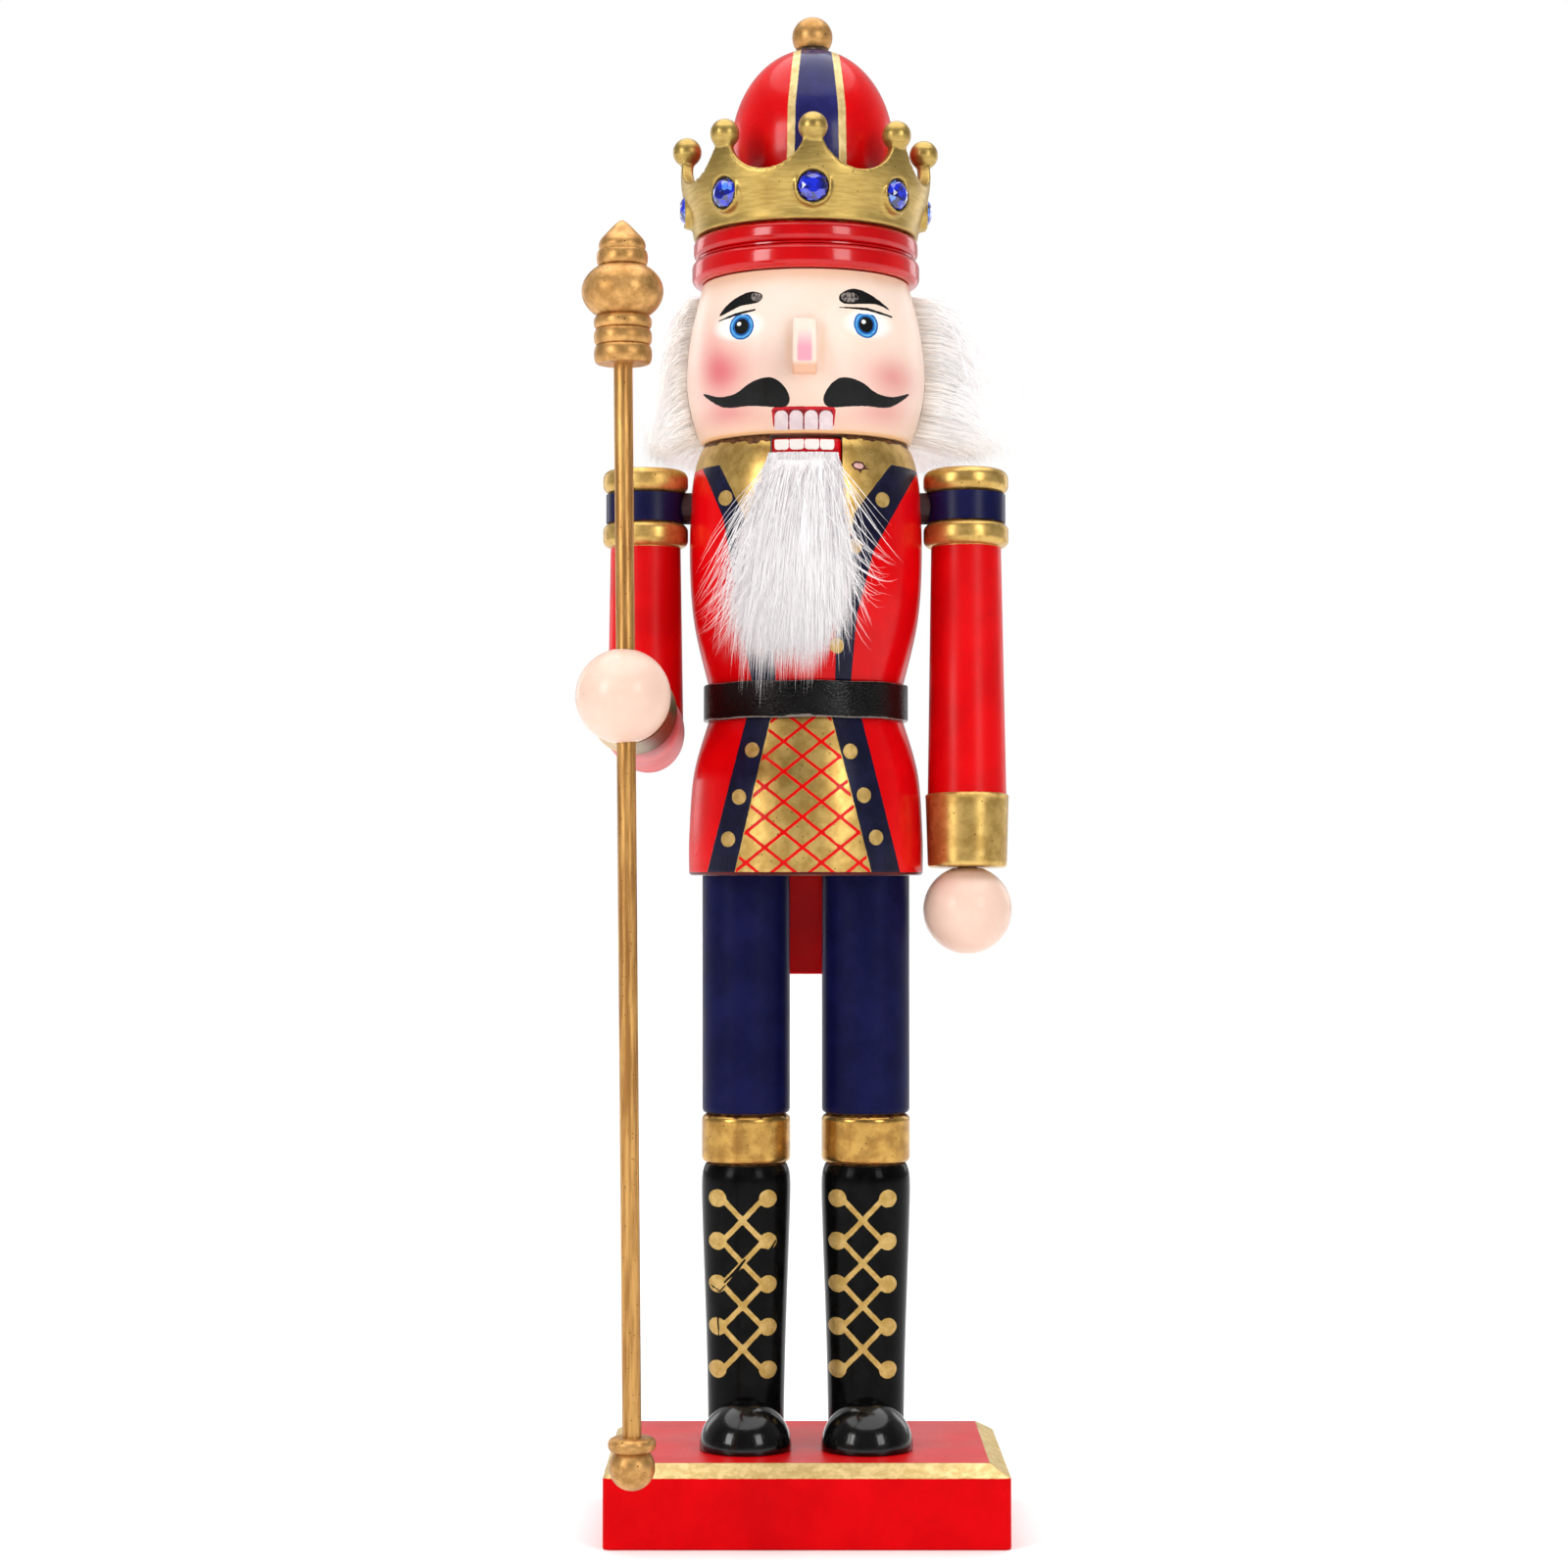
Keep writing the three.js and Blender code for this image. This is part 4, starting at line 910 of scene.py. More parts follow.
def make_nose():
    """A narrow wedge with a pink stripe down its front and an orange shadow under it."""
    side = [[-29.4, 283.3], [-34.9, 283.0], [-35.5, 283.5], [-35.6, 285], [-34.3, 290], [-31.7, 296.6],
            [-31.0, 297.1], [-29.4, 297.2]]
    width = 5.9
    centre = -0.5
    to_side = Matrix(((0, 0, 1, centre - width / 2), (1, 0, 0, 0), (0, 1, 0, 0), (0, 0, 0, 1)))
    nose = extruded("nose_wedge", side, width, to_side)
    softened(nose, 0.75, 4, 35)
    cut = nose.modifiers.new("grid", "REMESH")
    cut.mode = "VOXEL"
    cut.voxel_size = 0.28 * MM
    apply_modifiers(nose)
    p = points_of(nose)
    x, y, z = p.T
    off = np.abs(x - centre)
    paint(nose, "stripe", np.clip((2.2 - off) / 0.8, 0, 1) * np.clip((295 - z) / 6, 0, 1)
          * np.clip((z - 285.4) / 0.8, 0, 1) * (y < -31))
    # Painted shade under the nose and on its sides.
    paint(nose, "shade", np.clip((286.0 - z) / 1.2, 0, 1) * 0.85 + 0.25 * np.clip(off - 2.3, 0, 1))

    def tint(g, colour):
        colour = g.mix(colour, (0.74, 0.34, 0.17), g.math("MULTIPLY", g.field("shade"), 0.8))
        return g.mix(colour, (0.86, 0.28, 0.42), g.span(g.field("stripe"), 0.0, 1.0, 0.0, 0.8))

    look = painted("nose_paint", SKIN, tint=tint, coat=0.12)
    done(smoothed(nose, 60), "figure", look, "face_paint", "nose")


# Hat -----------------------------------------------------------------------------------

def make_hat_band():
    low, high, r = BAND_LOW[2], BAND_HIGH[2], BAND_HIGH[0]
    lower = band(low, low + 5.8, r, 1.7)
    upper = band(low + 6.4, high, r - 0.4, 1.7)
    groove = [[r - 1.1, low + 5.9], [r - 1.1, low + 6.3]]
    hat_band = turned("hat_band_moulding", lower + groove + upper, 0.5, np.radians(np.arange(0, 360, 2.0)))
    deep = Paint((0.58, 0.001, 0.003), (0.47, 0.001, 0.003), 0.22, scale=70)
    done(smoothed(hat_band), "figure", painted("hat_red", deep, coat=0.6), "red_lacquer", "hat_band")


def from_front(radius, height, azimuth):
    """Turns a shape drawn in x and y, and raised along z, to face outward at an azimuth."""
    face_out = Matrix(((1, 0, 0, 0), (0, 0, -1, -radius), (0, 1, 0, height), (0, 0, 0, 1)))
    return Matrix.Rotation(azimuth, 4, "Z") @ face_out


def ellipse(across, up, steps=48):
    turn = np.linspace(0, 2 * math.pi, steps, endpoint=False)
    return [[across * math.cos(a), up * math.sin(a)] for a in turn]


def make_crown():
    low, top, wall = CROWN_LOW[2], CROWN_LOW[2] + 20.2, 3.0
    outside = spline([[28.3, low], [28.9, low + 3.5], [30.9, low + 10], [31.6, low + 15.5], [31.2, top]], 24)
    inside = [[r - wall, z] for r, z in reversed(outside)]
    wall_outline = outside + inside + [outside[0]]
    crown = turned("crown_carved", wall_outline, 0.8, np.radians(np.arange(0, 360, 1.5)), ring=True)
    steps = [CROWN_TURN + math.radians(45 * k) for k in range(8)]
    half = math.radians(22.5)
    combine(crown, [extruded("tool", ellipse(9.8, 9.0), 25, from_front(15, top + 1, a + half))
                    for a in steps])
    ball = arc(0, 3.65, -90, 90, 24)[1:-1]
    tops = [moved(turned("tool", ball, 1, np.radians(np.arange(0, 360, 9.0))),
                  Matrix.Rotation(a, 4, "Z") @ shift(0, -30, top + 1.9)) for a in steps]
    setting = [[4.9, 0], [4.85, 1.0], [4.7, 1.7], [4.4, 2.1]]
    gem_height = low + 7.4
    rims = [moved(turned("tool", setting, 1), from_front(28.7, gem_height, a)) for a in steps]
    combine(crown, tops + rims, "UNION")
    combine(crown, [extruded("tool", ellipse(3.9, 3.9), 6, from_front(29.3, gem_height, a))
                    for a in steps])
    fine = crown.modifiers.new("skin", "REMESH")
    fine.mode = "VOXEL"
    fine.voxel_size = 0.44 * MM
    apply_modifiers(crown)
    soft = crown.modifiers.new("soft", "SMOOTH")
    soft.factor = 0.5
    soft.iterations = 4
    apply_modifiers(crown)
    look = painted("crown_gold", CROWN_GOLD, grain=0.05, peel=0.02,
                   chips=((0.05, 0.035, 0.015), 260, 0.06), shine=0.4)
    done(smoothed(crown, 60), "figure", look, "crown_gold", "crown")
    make_gems(steps, gem_height)


def make_gems(azimuths, height):
    """Faceted glass stones with a table, two rows of facets and a dark foil behind."""
    g = Graph("blue_glass")
    facets = g.node("TexVoronoi", {"Vector": g.place, "Scale": 800.0}).outputs["Color"]
    tone = g.node("SeparateColor", {0: facets}).outputs[0]
    # Voronoi cells give patches of darker and lighter blue; the lighter patches and the brightest cells are
    # painted sparkle, light caught inside the stone.
    deep = g.mix((0.002, 0.004, 0.10), (0.006, 0.02, 0.62), g.span(tone, 0.2, 0.7))
    colour = g.mix(deep, (0.10, 0.28, 0.90), g.span(tone, 0.84, 0.94))
    glass = g.finish(Base_Color=colour, Roughness=g.span(g.noise(300), 0.3, 0.7, 0.02, 0.06),
                     Coat_Weight=1.0, Coat_Roughness=0.02, Specular_IOR_Level=0.8)
    # Each row's radius, height and turn in steps. The last row is the table's edge.
    rows = [(3.7, 0.0, 0.0), (3.7, 0.85, 0.0), (2.85, 1.75, 0.5), (1.8, 2.25, 0.0)]
    sides = 10
    for number, azimuth in enumerate(azimuths, 1):
        points = []
        for r, h, turn in rows:
            for k in range(sides):
                a = (k + turn) * math.tau / sides
                points.append((r * math.cos(a), r * math.sin(a), h))
        faces = [list(reversed(range(sides))), list(range(3 * sides, 4 * sides))]
        for i in range(3):
            for k in range(sides):
                a, b = i * sides + k, i * sides + (k + 1) % sides
                c, d = a + sides, b + sides
                if i == 0:
                    faces.append([a, b, d, c])
                elif i == 1:
                    faces += [[a, b, c], [b, d, c]]
                else:
                    faces += [[a, b, d], [a, d, c]]
        gem = moved(mesh_object(f"stone_{number}", points, faces), from_front(29.55, height, azimuth))
        done(gem, "figure", glass, "blue_gem", f"gem_{number}")


def make_dome():
    low, high = DOME_LOW[2], DOME_HIGH[2]
    middle = high - 25.5
    side = [[19.0, low], [20.0, low + 11]]
    outline = side + arc(middle, 20.6, -18, 88, 60, 25.5 / 20.6)
    dome = turned("hat_dome_painted", outline, 0.7, columns(1.5, 1.5, 90))
    moved(dome, shift(DOME_X, 0, 0))
    p = points_of(dome)
    x, z = p[:, 0], p[:, 2]
    off = np.abs(x - 2.6)
    half = np.interp(z, [330, 352, 370], [6.6, 6.2, 4.6])
    paint(dome, "strap", half - off)
    paint(dome, "piping", 0.95 - np.abs(off - half))
    navy = Paint((0.022, 0.020, 0.130), (0.013, 0.012, 0.085), 0.24, scale=90)
    look = painted("dome_paint", RED, [("strap", navy), ("piping", PALE_GOLD)], coat=0.16)
    done(smoothed(dome), "figure", look, "red_lacquer", "hat_dome")


def make_bead(look):
    radius = (BEAD_HIGH[0] - BEAD_LOW[0]) / 2
    centre = BEAD_HIGH[2] - radius
    flat = math.degrees(math.asin((BEAD_LOW[2] - centre) / radius))
    bead = turned("hat_bead_turned", arc(centre, radius, flat, 89, 40), 0.6)
    moved(bead, shift(DOME_X, 0, 0))
    done(smoothed(bead), "figure", look, "antique_gold", "hat_bead")


# Arms ----------------------------------------------------------------------------------

SLEEVE, CAP, CUFF = 9.85, 10.7, 10.5
CUFF_LENGTH = 18.35  # how far the cuff's gold reaches from the wrist
NO_CUFF = -180.0  # below the whole arm


def shoulder_outline():
    """The top of an arm as [radius, height above the shoulder]: two gold mouldings, navy between."""
    return band(-10, -4, CAP, 1.9) + [[SLEEVE + 0.1, -3.8], [SLEEVE + 0.1, 3.3]] + band(3.5, 9.5, CAP, 2.2)


def cuff_outline(end):
    return [[9.2, end], [9.7, end + 0.25], [9.9, end + 0.8], [CUFF - 0.1, end + 17.3], [CUFF, end + 17.8],
            [CUFF - 0.25, end + 18.2], [SLEEVE, end + 18.3]]


def paint_arm(arm, cuff_top, z=None):
    """Paints the shoulder mouldings and the cuff. z is each point's height along the arm."""
    if z is None:
        z = points_of(arm)[:, 2]
    shoulder = union(overlap(z + 10.2, -3.85 - z), z - 3.35)
    paint(arm, "gold", union(shoulder, cuff_top - z))
    paint(arm, "navy", overlap(z + 3.9, 3.4 - z))
    # No painted shade on these arms.
    paint(arm, "painted_shade", np.zeros(len(z)))


def hand_outline(radius=11.05, flat=-10.3):
    start = math.degrees(math.asin(flat / radius))
    return [[3.0, flat], *arc(0, radius, start, 89, 44)]


def make_arms(look, skin):
    grid = np.radians(np.arange(0, 360, 2.5))
    at_left = shift(SHOULDER[0], 0, SHOULDER[2])
    at_right = shift(-SHOULDER[0], 0, SHOULDER[2])

    end = -90.6  # the wrist, from the shoulder
    hang = at_left @ Matrix.Rotation(LEFT_TILT, 4, "X")
    arm = turned("left_arm_painted", cuff_outline(end) + shoulder_outline(), 0.6, grid)
    paint_arm(arm, end + CUFF_LENGTH)
    done(smoothed(moved(arm, hang)), "left_arm", look, "red_lacquer", "left_arm")
    hand = turned("left_hand_bead", hand_outline(), 0.7, grid)
    moved(hand, hang @ shift(0, 0, end - 10.6) @ Matrix.Rotation(math.pi, 4, "X"))
    done(smoothed(hand), "left_arm", skin, "hand_paint", "left_hand")

    elbow = Vector((-SHOULDER[0], 0, SHOULDER[2] - ELBOW_DROP))
    forward = Vector(FOREARM)
    reach = forward.length
    forward.normalize()
    mitre = (Vector((0, 0, 1)) - forward).normalized()
    place = Matrix.Translation(elbow) @ Vector((0, 0, 1)).rotation_difference(mitre).to_matrix().to_4x4()
    upper = turned("right_upper_arm_painted", [[SLEEVE, -ELBOW_DROP - 20]] + shoulder_outline(), 0.6, grid)
    moved(upper, at_right)
    combine(upper, [moved(block((-40, -40, -60), (40, 40, 0)), place @ shift(0, 0, 0.05))])
    paint_arm(upper, NO_CUFF, points_of(upper)[:, 2] - SHOULDER[2])
    done(smoothed(upper), "right_arm", look, "red_lacquer", "right_upper_arm")
    cuff_end = 55.6  # the wrist, from the elbow
    cuff = [[r, cuff_end - z] for r, z in reversed(cuff_outline(0))]
    lower = turned("right_forearm_painted", [[SLEEVE, -20], *cuff], 0.6, grid)
    point = Vector((0, 0, 1)).rotation_difference(forward).to_matrix().to_4x4()
    moved(lower, Matrix.Translation(elbow) @ point)
    combine(lower, [moved(block((-40, -40, 0), (40, 40, 60)), place @ shift(0, 0, -0.05))])
    along = (points_of(lower) - np.array(elbow)) @ np.array(forward)
    paint(lower, "gold", along - (cuff_end - CUFF_LENGTH))
    paint(lower, "navy", np.full(along.shape, FAR))
    inward = np.array((0.80, 0, -0.60))  # towards the torso and down, where painted shade darkens the cuff
    inner = points_of(lower) @ inward - np.array(elbow) @ inward
    # Painted shade: the raised forearm's cuff darkens on its inner, lower side towards the hand.
    paint(lower, "painted_shade", 0.85 * np.clip((inner + 1) / 8, 0, 1) * np.clip((along - 18) / 20, 0, 1))
    done(smoothed(lower), "right_arm", look, "red_lacquer", "right_forearm")
    fist = turned("right_hand_bead", hand_outline(), 0.7, grid)
    centre = elbow + forward * reach
    moved(fist, Matrix.Translation(centre) @ point)
    grip = centre + Vector((ROD_OFFSET, 0, 0))
    lean = Vector((math.sin(SCEPTRE_LEAN), 0, math.cos(SCEPTRE_LEAN)))
    combine(fist, [rod(2.45, grip - lean * 20, grip + lean * 20)])
    done(smoothed(fist), "right_arm", skin, "hand_paint", "right_hand")
    return grip


def make_sceptre(grip):
    """A turned staff through the right hand: a rod, a ringed head and a ball foot."""
    lean = Matrix.Translation(grip) @ Matrix.Rotation(SCEPTRE_LEAN, 4, "Y")
    gold = painted("sceptre_gold", SCEPTRE_GOLD, grain=0.02, peel=0.02,
                   chips=((0.09, 0.035, 0.01), 420, 0.11), shine=0.4)
    streaky = Paint((0.64, 0.35, 0.105), (0.34, 0.155, 0.038), 0.40, 0.7, 800, (1, 1, 0.06))
    rod_gold = painted("rod_gold", streaky, grain=0.05, peel=0.02,
                       chips=((0.12, 0.05, 0.015), 620, 0.12), shine=0.4)
    grid = np.radians(np.arange(0, 360, 5.0))
    tip = 110.7  # heights here are from the hand
    shaft = turned("sceptre_shaft", [[2.2, -176.5], [2.2, tip - 23.5]], 4, grid)
    edges = (33.5, 29.2, 25.4, 22.4)  # of the three rings, down from the tip
    rings = [p for low, high in zip(edges, edges[1:]) for p in swell(tip - low, tip - high, 5.95, 6.75)]
    drops = np.linspace(5.75, -5.75, 25)
    bulb = [[9.5 * math.sqrt(1 - (d / 7.25) ** 2), tip - 16.6 - d] for d in drops]
    neck = swell(tip - 10.7, tip - 7, 5.3, 5.95)
    cone = ((5.2, 7), (5.45, 5.9), (4.95, 4.5), (3.35, 2.7), (1.65, 0.95), (0.4, 0))
    point = spline([[r, tip - d] for r, d in cone], 30)
    head = turned("sceptre_finial", rings + bulb + neck + point, 0.5, grid)
    foot_low = -182.7
    ball = arc(foot_low + 5.3, 5.3, -89, 44, 30)
    ring = band(foot_low + 8.8, foot_low + 12.3, 5.55, 1.6)
    foot = turned("sceptre_ball_foot", ball + [[3.9, foot_low + 8.7]] + ring, 0.5, grid)
    for piece, look, node in ((shaft, rod_gold, "sceptre_rod"), (head, gold, "sceptre_head"),
                              (foot, gold, "sceptre_foot")):
        done(smoothed(moved(piece, lean)), "sceptre", look, "sceptre_gold", node)
    return gold


# Fur -----------------------------------------------------------------------------------

def fur_material(name, dark, light, glow):
    """White fur. A little glow stands for the light that scatters between the hairs."""
    g = Graph(name)
    tone = g.math("ADD", g.field("tone"), g.math("MULTIPLY", g.noise(400), 0.15))
    colour = g.mix(dark, light, g.span(tone, 0.2, 1.0))
    colour = g.mix(colour, (0.93, 0.78, 0.62), g.field("warm"))
    return g.finish(Base_Color=colour, Roughness=0.55, Specular_IOR_Level=0.3, Emission_Color=colour,
                    Emission_Strength=g.span(tone, 0.1, 1.2, glow[0], glow[1]))


def strands(name, corners, radius, outside, segments=6):
    """Tapered hairs along cubic curves. corners holds each hair's four control points."""
    count = len(corners[0])
    t = np.linspace(0, 1, segments + 1)[None, :, None]
    a, b, c, d = (np.asarray(q)[:, None, :] for q in corners)
    line = outside((1 - t) ** 3 * a + 3 * (1 - t) ** 2 * t * b + 3 * (1 - t) * t**2 * c + t**3 * d)
    along = line[:, -1] - line[:, 0]
    u = np.cross(along, rng.normal(size=(count, 3)))
    u /= np.linalg.norm(u, axis=1, keepdims=True)
    v = np.cross(along, u)
    v /= np.linalg.norm(v, axis=1, keepdims=True)
    taper = (1 - np.linspace(0, 1, segments + 1)[:-1] ** 1.6)[None, :, None] * radius[:, None, None]
    rings = [line[:, :-1] + taper * (math.cos(w) * u + math.sin(w) * v)[:, None, :]
             for w in (0, math.tau / 3, 2 * math.tau / 3)]
    body = np.stack(rings, 2).reshape(count, segments * 3, 3)
    points = np.concatenate([body, line[:, -1:]], 1)
    each = segments * 3 + 1
    faces = [[2, 1, 0]]
    for i in range(segments - 1):
        for k in range(3):
            on = (k + 1) % 3
            faces.append([i * 3 + k, i * 3 + on, i * 3 + 3 + on, i * 3 + 3 + k])
    last = segments * 3 - 3
    faces += [[last + k, last + (k + 1) % 3, each - 1] for k in range(3)]
    all_faces = [[i + n * each for i in face] for n in range(count) for face in faces]
    fur = mesh_object(name, points.reshape(-1, 3), all_faces)
    # Each hair gets a random tone and lightens towards its tip; the darker roots are painted shade.
    towards_tip = np.append(np.repeat(t.ravel()[:-1], 3), 1)
    tone = rng.uniform(0.2, 1.0, count)[:, None] * np.ones(each) + towards_tip * 0.3
    paint(fur, "tone", tone.ravel())
    fur.data.shade_smooth()
    return fur


def clumped(tips, keys, groups, pull):
    """Draws the tips of neighbouring hairs together into locks."""
    order = np.argsort(keys + rng.normal(0, 0.03, len(keys)))
    drawn = tips.copy()
    for lock in np.array_split(order, groups):
        centre = tips[lock[rng.integers(len(lock))]]
        drawn[lock] += (centre - tips[lock]) * pull
    return drawn


def plain(fur):
    """Fur with no warm tint."""
    paint(fur, "warm", np.zeros(len(fur.data.vertices)))


def torso_radius(z):
    outline = np.array(torso_outline())
    radius = np.interp(z, outline[:, 1], outline[:, 0])
    on_belt = (z > BELT_LOW[2] - 0.5) & (z < BELT_HIGH[2] + 0.5)
    return np.where(on_belt, BELT_HIGH[0] + 0.2, radius)


def clear_of_torso(points):
    x, y, z = points[..., 0], points[..., 1], points[..., 2]
    need = torso_radius(z) + 0.5
    grow = np.maximum(1.0, need / np.maximum(np.hypot(x, y), 1e-6))
    return np.stack([x * grow, y * grow, z], -1)


def beard_roots(count):
    u = rng.uniform(-1, 1, count)
    v = rng.uniform(0, 1, count) ** 1.7
    x = -0.75 + u * 8.5
    y = -28.0 + (27.0 - np.sqrt(27.0**2 - x**2))
    return u, v, np.stack([x, y, 264.7 - v * 26], -1)


def make_beard(fur):
    """Long fur glued under the lower teeth."""
    count = 5700
    u, v, root = beard_roots(count)
    stray = rng.uniform(0, 1, count) < 0.05 + 0.17 * v
    locks_across, locks_down = 14, 16
    lock = ((u + 1) * 6.99).astype(int) * locks_down + (v * 15.99).astype(int)
    locks = locks_across * locks_down
    across = -3.3 + 3.2 * u + rng.normal(0, 1.8, count) + rng.normal(0, 1.6, locks)[lock]
    outward = np.where(rng.uniform(-1.1, 1, count) < u, 1, -1.25)
    across = np.where(stray, across + outward * np.abs(rng.normal(4, 7.5, count)), across)
    length = np.where(stray, rng.uniform(14, 40, count), rng.uniform(28, 48, count) + (1 - v) * 6)
    bottom = rng.normal(211.0, 4.6, count) + 8 * np.clip(u, 0, 1) ** 2 + 3 * np.clip(-u, 0, 1) ** 2
    bottom = np.maximum(bottom + rng.normal(0, 3.2, locks)[lock], 201.5)
    length = np.minimum(length, root[:, 2] - bottom)
    length = np.maximum(length, 10)
    puff = rng.uniform(0, 1, count) ** 0.8
    ahead = np.array([0, -1.0, 0])
    fall = np.array([0, 0, -1.0])
    left_end = rng.uniform(-29, -20, count)
    right_end = rng.uniform(17, 27, count)
    across = np.clip(root[:, 0] + across, left_end, right_end) - root[:, 0]
    side = np.stack([across, np.zeros(count), np.zeros(count)], -1)
    tip = root + side + fall * length[:, None] + ahead * (0.5 + 4.5 * puff * (1 - 0.4 * np.abs(u)))[:, None]
    tip = clumped(tip, tip[:, 0] / 20, 190, 0.42)
    early = np.where(stray, 0.33, 0.62)[:, None]
    late = np.where(stray, 0.67, 0.98)[:, None]
    first = root + side * early * 0.95 + fall * (length * 0.28)[:, None] + ahead * (1.2 + 4.6 * puff)[:, None]
    second = root + side * late + fall * (length * 0.66)[:, None] + ahead * (1.0 + 5.0 * puff)[:, None]
    second[:, 0] += rng.normal(0, 0.7, count)
    radius = np.where(stray, 0.13, rng.uniform(0.10, 0.17, count))
    beard = strands("beard_fur", (root, first, second, tip), radius, clear_of_torso)
    plain(beard)

    widths = spline([[2.0, 223], [5.0, 229], [7.2, 237], [8.0, 247], [7.9, 256], [7.0, 262.4]], 40)
    core = turned("beard_core", widths, 1.0, np.radians(np.arange(0, 360, 6.0)))
    p = points_of(core)
    lean = (264.4 - p[:, 2]) * 0.08
    p[:, 1] = p[:, 1] * 0.22 - 27.6 - lean
    p[:, 0] = p[:, 0] - 0.75 - (264.4 - p[:, 2]) * 0.075
    p += 0.25 * np.sin(p[:, [2, 0, 1]] * 1.9)
    set_points(core, clear_of_torso(p))
    paint(core, "tone", np.full(len(p), 0.5))
    plain(smoothed(core, 80))
    for piece in (beard, core):
        piece.data.materials.append(fur)
        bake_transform(piece)
    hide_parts("beard")


def head_radius(z):
    outline = np.array(head_outline())
    return np.interp(z, outline[:, 1], outline[:, 0])


HAIR_FLOOR = 265.5  # the longest hairs end about 1.5 below this height
HAIR_INNER = 29.5  # the inside radius of the core under the hair


def hair_bulge(azimuth):
    """How far the hair stands out, round the head: most on the figure's left."""
    left = np.clip((math.pi * 0.9 - azimuth) / 1.2, 0, 1)
    return 13.5 + 11.5 * left**1.5 + 1.0 * np.sin(5 * azimuth + 0.6)


def direction(azimuth):
    return np.stack([np.sin(azimuth), -np.cos(azimuth), np.zeros_like(azimuth)], -1)


def clear_of_head(points):
    x, y, z = points[..., 0], points[..., 1], points[..., 2]
    need = head_radius(z) + 0.35
    grow = np.maximum(1.0, need / np.maximum(np.hypot(x, y), 1e-6))
    return np.stack([x * grow, y * grow, z], -1)


ARM_SWEEP = 14.9  # the radius of the circle that the top of an arm turns in, with room to spare
ARM_INSIDE = 28.8  # the arms are further than this from the figure's middle


def clear_of_arms(points):
    """Above the shoulders the hair keeps out of the circle that the top of each arm turns in."""
    x, y, z = points[..., 0], points[..., 1], points[..., 2]
    rise = z - SHOULDER[2]
    grow = np.maximum(1.0, ARM_SWEEP / np.maximum(np.hypot(y, rise), 1e-6))
    grow = np.where(np.abs(x) > ARM_INSIDE, grow, 1.0)
    return np.stack([x, y * grow, SHOULDER[2] + rise * grow], -1)


def warm_near_face(fur):
    """The hair close to the face takes a cream tint."""
    x, y, z = points_of(fur).T
    near = np.clip(1 - (np.hypot(x, y) - head_radius(z)) / 9, 0, 1)
    paint(fur, "warm", 0.42 * near**1.5)


def make_hair(fur):
    """A strip of long fur round the sides and back of the head."""
    spans = [("hair_left", 93, 150), ("hair_back", 150, 210), ("hair_right", 210, 267)]
    for name, start, stop in spans:
        count = 5600
        azimuth = np.radians(rng.uniform(start, stop, count))
        height = rng.uniform(0, 1, count)
        bulge = hair_bulge(azimuth) * rng.uniform(0.55, 1.0, count) ** 0.7
        root_z = 272 + height * 36
        radius = head_radius(root_z)
        out = direction(azimuth)
        drop = (root_z - HAIR_FLOOR) * rng.uniform(0.35, 1.0, count) + 1.5
        swing = rng.normal(0, 0.10, count)
        up = np.array([0, 0, 1.0])
        root = out * radius[:, None] + up * root_z[:, None]
        spread = bulge * (0.30 + 0.35 * height)
        first = out * (radius + spread)[:, None] + up * (root_z - 1.0 + 3.0 * height)[:, None]
        bend = direction(azimuth + swing * 0.5) * (radius + bulge)[:, None]
        second = bend + up * (root_z - drop * 0.45)[:, None]
        reach = radius + bulge * rng.uniform(0.75, 1.15, count)
        tip = direction(azimuth + swing) * reach[:, None] + up * (root_z - drop)[:, None]
        tip = clumped(tip, azimuth * 2 + 0.02 * root_z, 90, 0.3)
        thickness = rng.uniform(0.11, 0.20, count)
        piece = strands(name, (root, first, second, tip), thickness,
                        lambda line: clear_of_arms(clear_of_head(line)))
        warm_near_face(piece)
        piece.data.materials.append(fur)
        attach(piece, "figure")
    outline = [[HAIR_INNER, 275], [31.5, 274.5], [34, 279], [35, 289], [34, 299], [30.5, 306], [28, 307],
               [28.5, 300], [HAIR_INNER, 290], [HAIR_INNER, 275]]
    core = turned("hair_core", outline, 1.2, np.radians(np.arange(0, 360, 2.5)), ring=True)
    p = points_of(core)
    azimuth = np.arctan2(p[:, 0], -p[:, 1]) % math.tau
    radius = np.hypot(p[:, 0], p[:, 1])
    share = hair_bulge(azimuth) / 13.5
    lumps = 1 + 0.10 * np.sin(p[:, 2] * 1.3 + azimuth * 23)
    grown = np.where(radius > HAIR_INNER + 0.5, HAIR_INNER + (radius - HAIR_INNER) * share * lumps, radius)
    p[:, :2] *= (grown / radius)[:, None]
    set_points(core, p)
    combine(core, [block((-80, -80, 250), (80, 3.0, 330))])
    paint(core, "tone", np.full(len(core.data.vertices), 0.6))
    warm_near_face(core)
    core.data.materials.append(fur)
    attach(smoothed(core, 80), "figure")
    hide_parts("hair")


# CAD parts that stay as they are --------------------------------------------------------

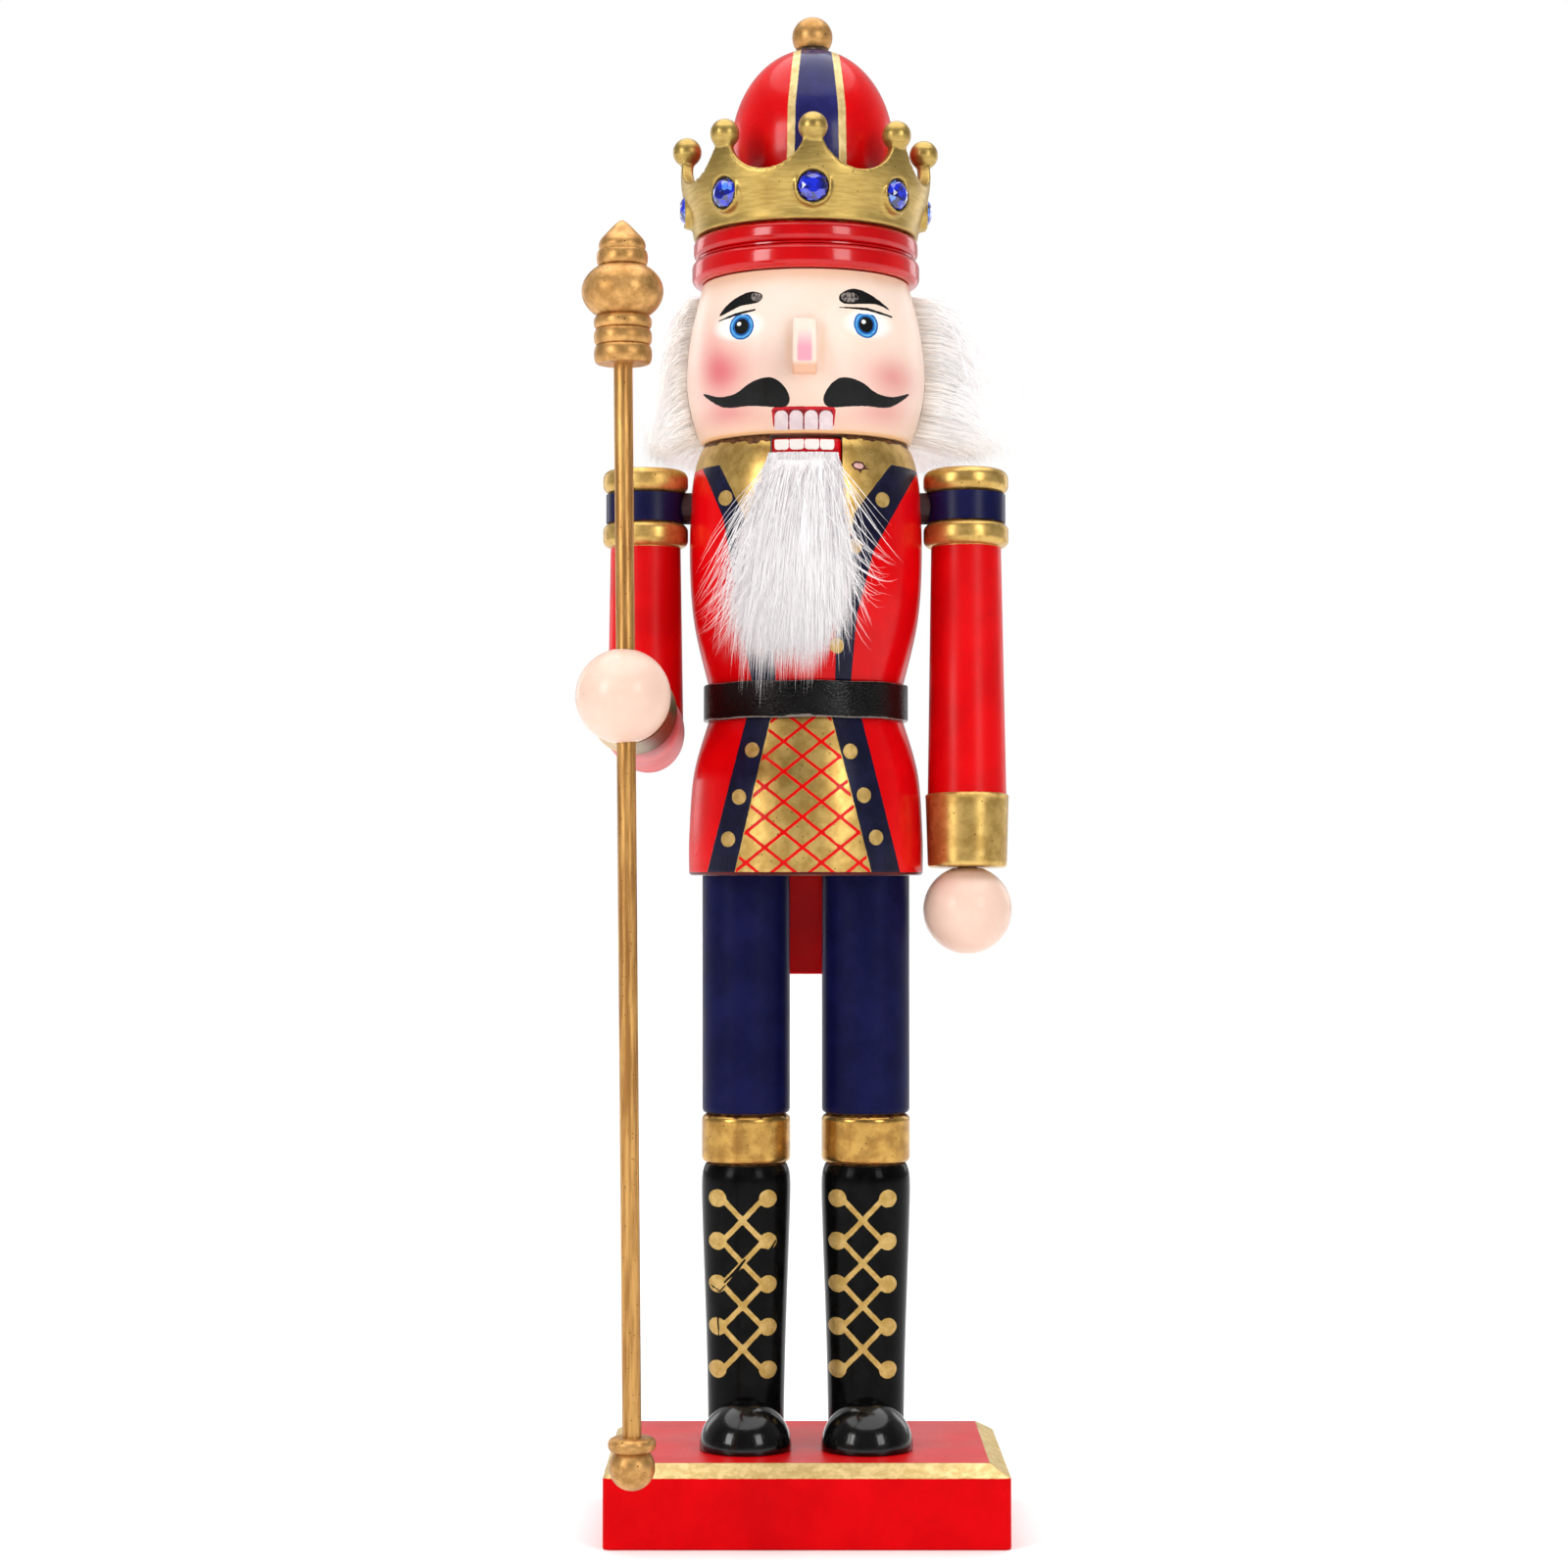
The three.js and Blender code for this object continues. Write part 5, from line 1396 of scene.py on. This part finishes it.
def finish_pegs():
    """The dowels and pins keep their CAD shape. They get wood and steel."""
    g = Graph("dowel_wood")
    fibre = g.noise(900, 4, (1, 1, 0.08))
    colour = g.mix((0.42, 0.25, 0.11), (0.66, 0.46, 0.25), g.span(fibre, 0.35, 0.65))
    wood = g.finish(Base_Color=colour, Roughness=g.span(fibre, 0.3, 0.7, 0.6, 0.8),
                    Normal=g.bump(fibre, 0.05))
    g = Graph("pin_steel")
    brushed = g.noise(1600, 3, (0.05, 1, 1))
    colour = g.mix((0.42, 0.42, 0.43), (0.62, 0.62, 0.63), g.span(brushed, 0.3, 0.7))
    steel = g.finish(Base_Color=colour, Roughness=g.span(brushed, 0.3, 0.7, 0.22, 0.38), Metallic=1.0)
    # The shoulder pegs are near-black red: painted shade for the dark gap between arm and torso.
    g = Graph("stained_wood")
    fibre = g.noise(700, 4, (0.1, 1, 1))
    stained = g.finish(Base_Color=g.mix((0.012, 0.002, 0.002), (0.045, 0.004, 0.005), fibre), Roughness=0.6,
                       Normal=g.bump(fibre, 0.05))
    for name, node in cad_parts.items():
        if "peg" in name or "dowel" in name or "pin" in name:
            look = steel if "pin" in name else stained if "shoulder" in name else wood
            node.data.materials.clear()
            node.data.materials.append(look)


# Floor and lights ----------------------------------------------------------------------

def make_stage():
    far = 9000
    corners = [(-far, -far, 0), (far, -far, 0), (far, far, 0), (-far, far, 0)]
    floor = mesh_object("floor", corners, [[0, 1, 2, 3]])
    g = Graph("pale_floor")
    shade = g.mix((0.90, 0.90, 0.90), (0.93, 0.93, 0.93), g.noise(8, 2))
    floor.data.materials.append(g.finish(Base_Color=shade, Roughness=0.9))


def area_light(name, place, target, size, power):
    light = bpy.data.lights.new(name, "AREA")
    light.shape = "RECTANGLE"
    light.size, light.size_y = size
    light.energy = power
    lamp = bpy.data.objects.new(name, light)
    lamp.location = place
    lamp.rotation_euler = (Vector(target) - Vector(place)).to_track_quat("-Z", "Y").to_euler()
    bpy.context.scene.collection.objects.link(lamp)


def make_lights():
    """A white surround, dimmer in reflections than it looks, and softboxes left and right."""
    world = bpy.data.worlds.new("studio")
    bpy.context.scene.world = world
    world.use_nodes = True
    tree = world.node_tree
    background = tree.nodes["Background"]
    background.inputs["Color"].default_value = (1, 1, 1, 1)
    towards = tree.nodes.new("ShaderNodeSeparateXYZ")
    tree.links.new(tree.nodes.new("ShaderNodeTexCoord").outputs["Generated"], towards.inputs[0])
    behind = tree.nodes.new("ShaderNodeMapRange")
    for name, value in (("From Min", -0.1), ("From Max", 0.7), ("To Min", 0.14), ("To Max", 0.50)):
        behind.inputs[name].default_value = value
    tree.links.new(towards.outputs["Y"], behind.inputs["Value"])
    seen = tree.nodes.new("ShaderNodeLightPath").outputs["Is Camera Ray"]
    strength = tree.nodes.new("ShaderNodeMapRange")
    strength.inputs["To Max"].default_value = 1.0
    tree.links.new(behind.outputs[0], strength.inputs["To Min"])
    tree.links.new(seen, strength.inputs["Value"])
    tree.links.new(strength.outputs[0], background.inputs["Strength"])
    middle = (0, 0, 0.22)
    area_light("key", (-0.95, -0.95, 0.60), middle, (0.40, 0.60), 6.6)
    area_light("fill", (0.80, -1.10, 0.60), middle, (0.40, 0.60), 4.8)
    area_light("rim_left", (-0.9, 1.0, 0.5), middle, (0.4, 0.6), 1.2)
    area_light("rim_right", (0.9, 1.0, 0.5), middle, (0.4, 0.6), 1.2)
    sun = bpy.data.lights.new("overhead", "SUN")
    sun.energy = 3.2
    sun.angle = math.radians(80)
    bpy.context.scene.collection.objects.link(bpy.data.objects.new("overhead", sun))
    bpy.context.scene.view_settings.view_transform = "Standard"


# Scene ---------------------------------------------------------------------------------

make_camera()
make_base()
make_legs(painted("leg_paint", NAVY, [
    ("boot", BLACK), ("garter", GARTER_GOLD), ("stain", DARK_EDGE), ("laces", LACE_GOLD),
], shine=0.06))
make_toes(painted("toe_black", BLACK, peel=0.06, coat=0.5))
make_torso()
make_belt()
make_lever()
make_head()
make_nose()
make_hat_band()
make_crown()
make_dome()
# The raised forearm's cuff gets painted shade in this dark colour.
arm_look = painted("arm_paint", SLEEVE_RED, [("gold", GOLD), ("navy", NAVY)], shade_colour=(0.030, 0.008, 0.005))
hand_look = painted("hand_paint", HAND, coat=0.15)
make_bead(make_sceptre(make_arms(arm_look, hand_look)))
make_beard(fur_material("beard_white", (0.66, 0.61, 0.63), (0.97, 0.95, 0.955), (0.05, 0.14)))
make_hair(fur_material("hair_white", (0.82, 0.79, 0.79), (0.97, 0.96, 0.96), (0.09, 0.28)))
finish_pegs()
make_stage()
make_lights()
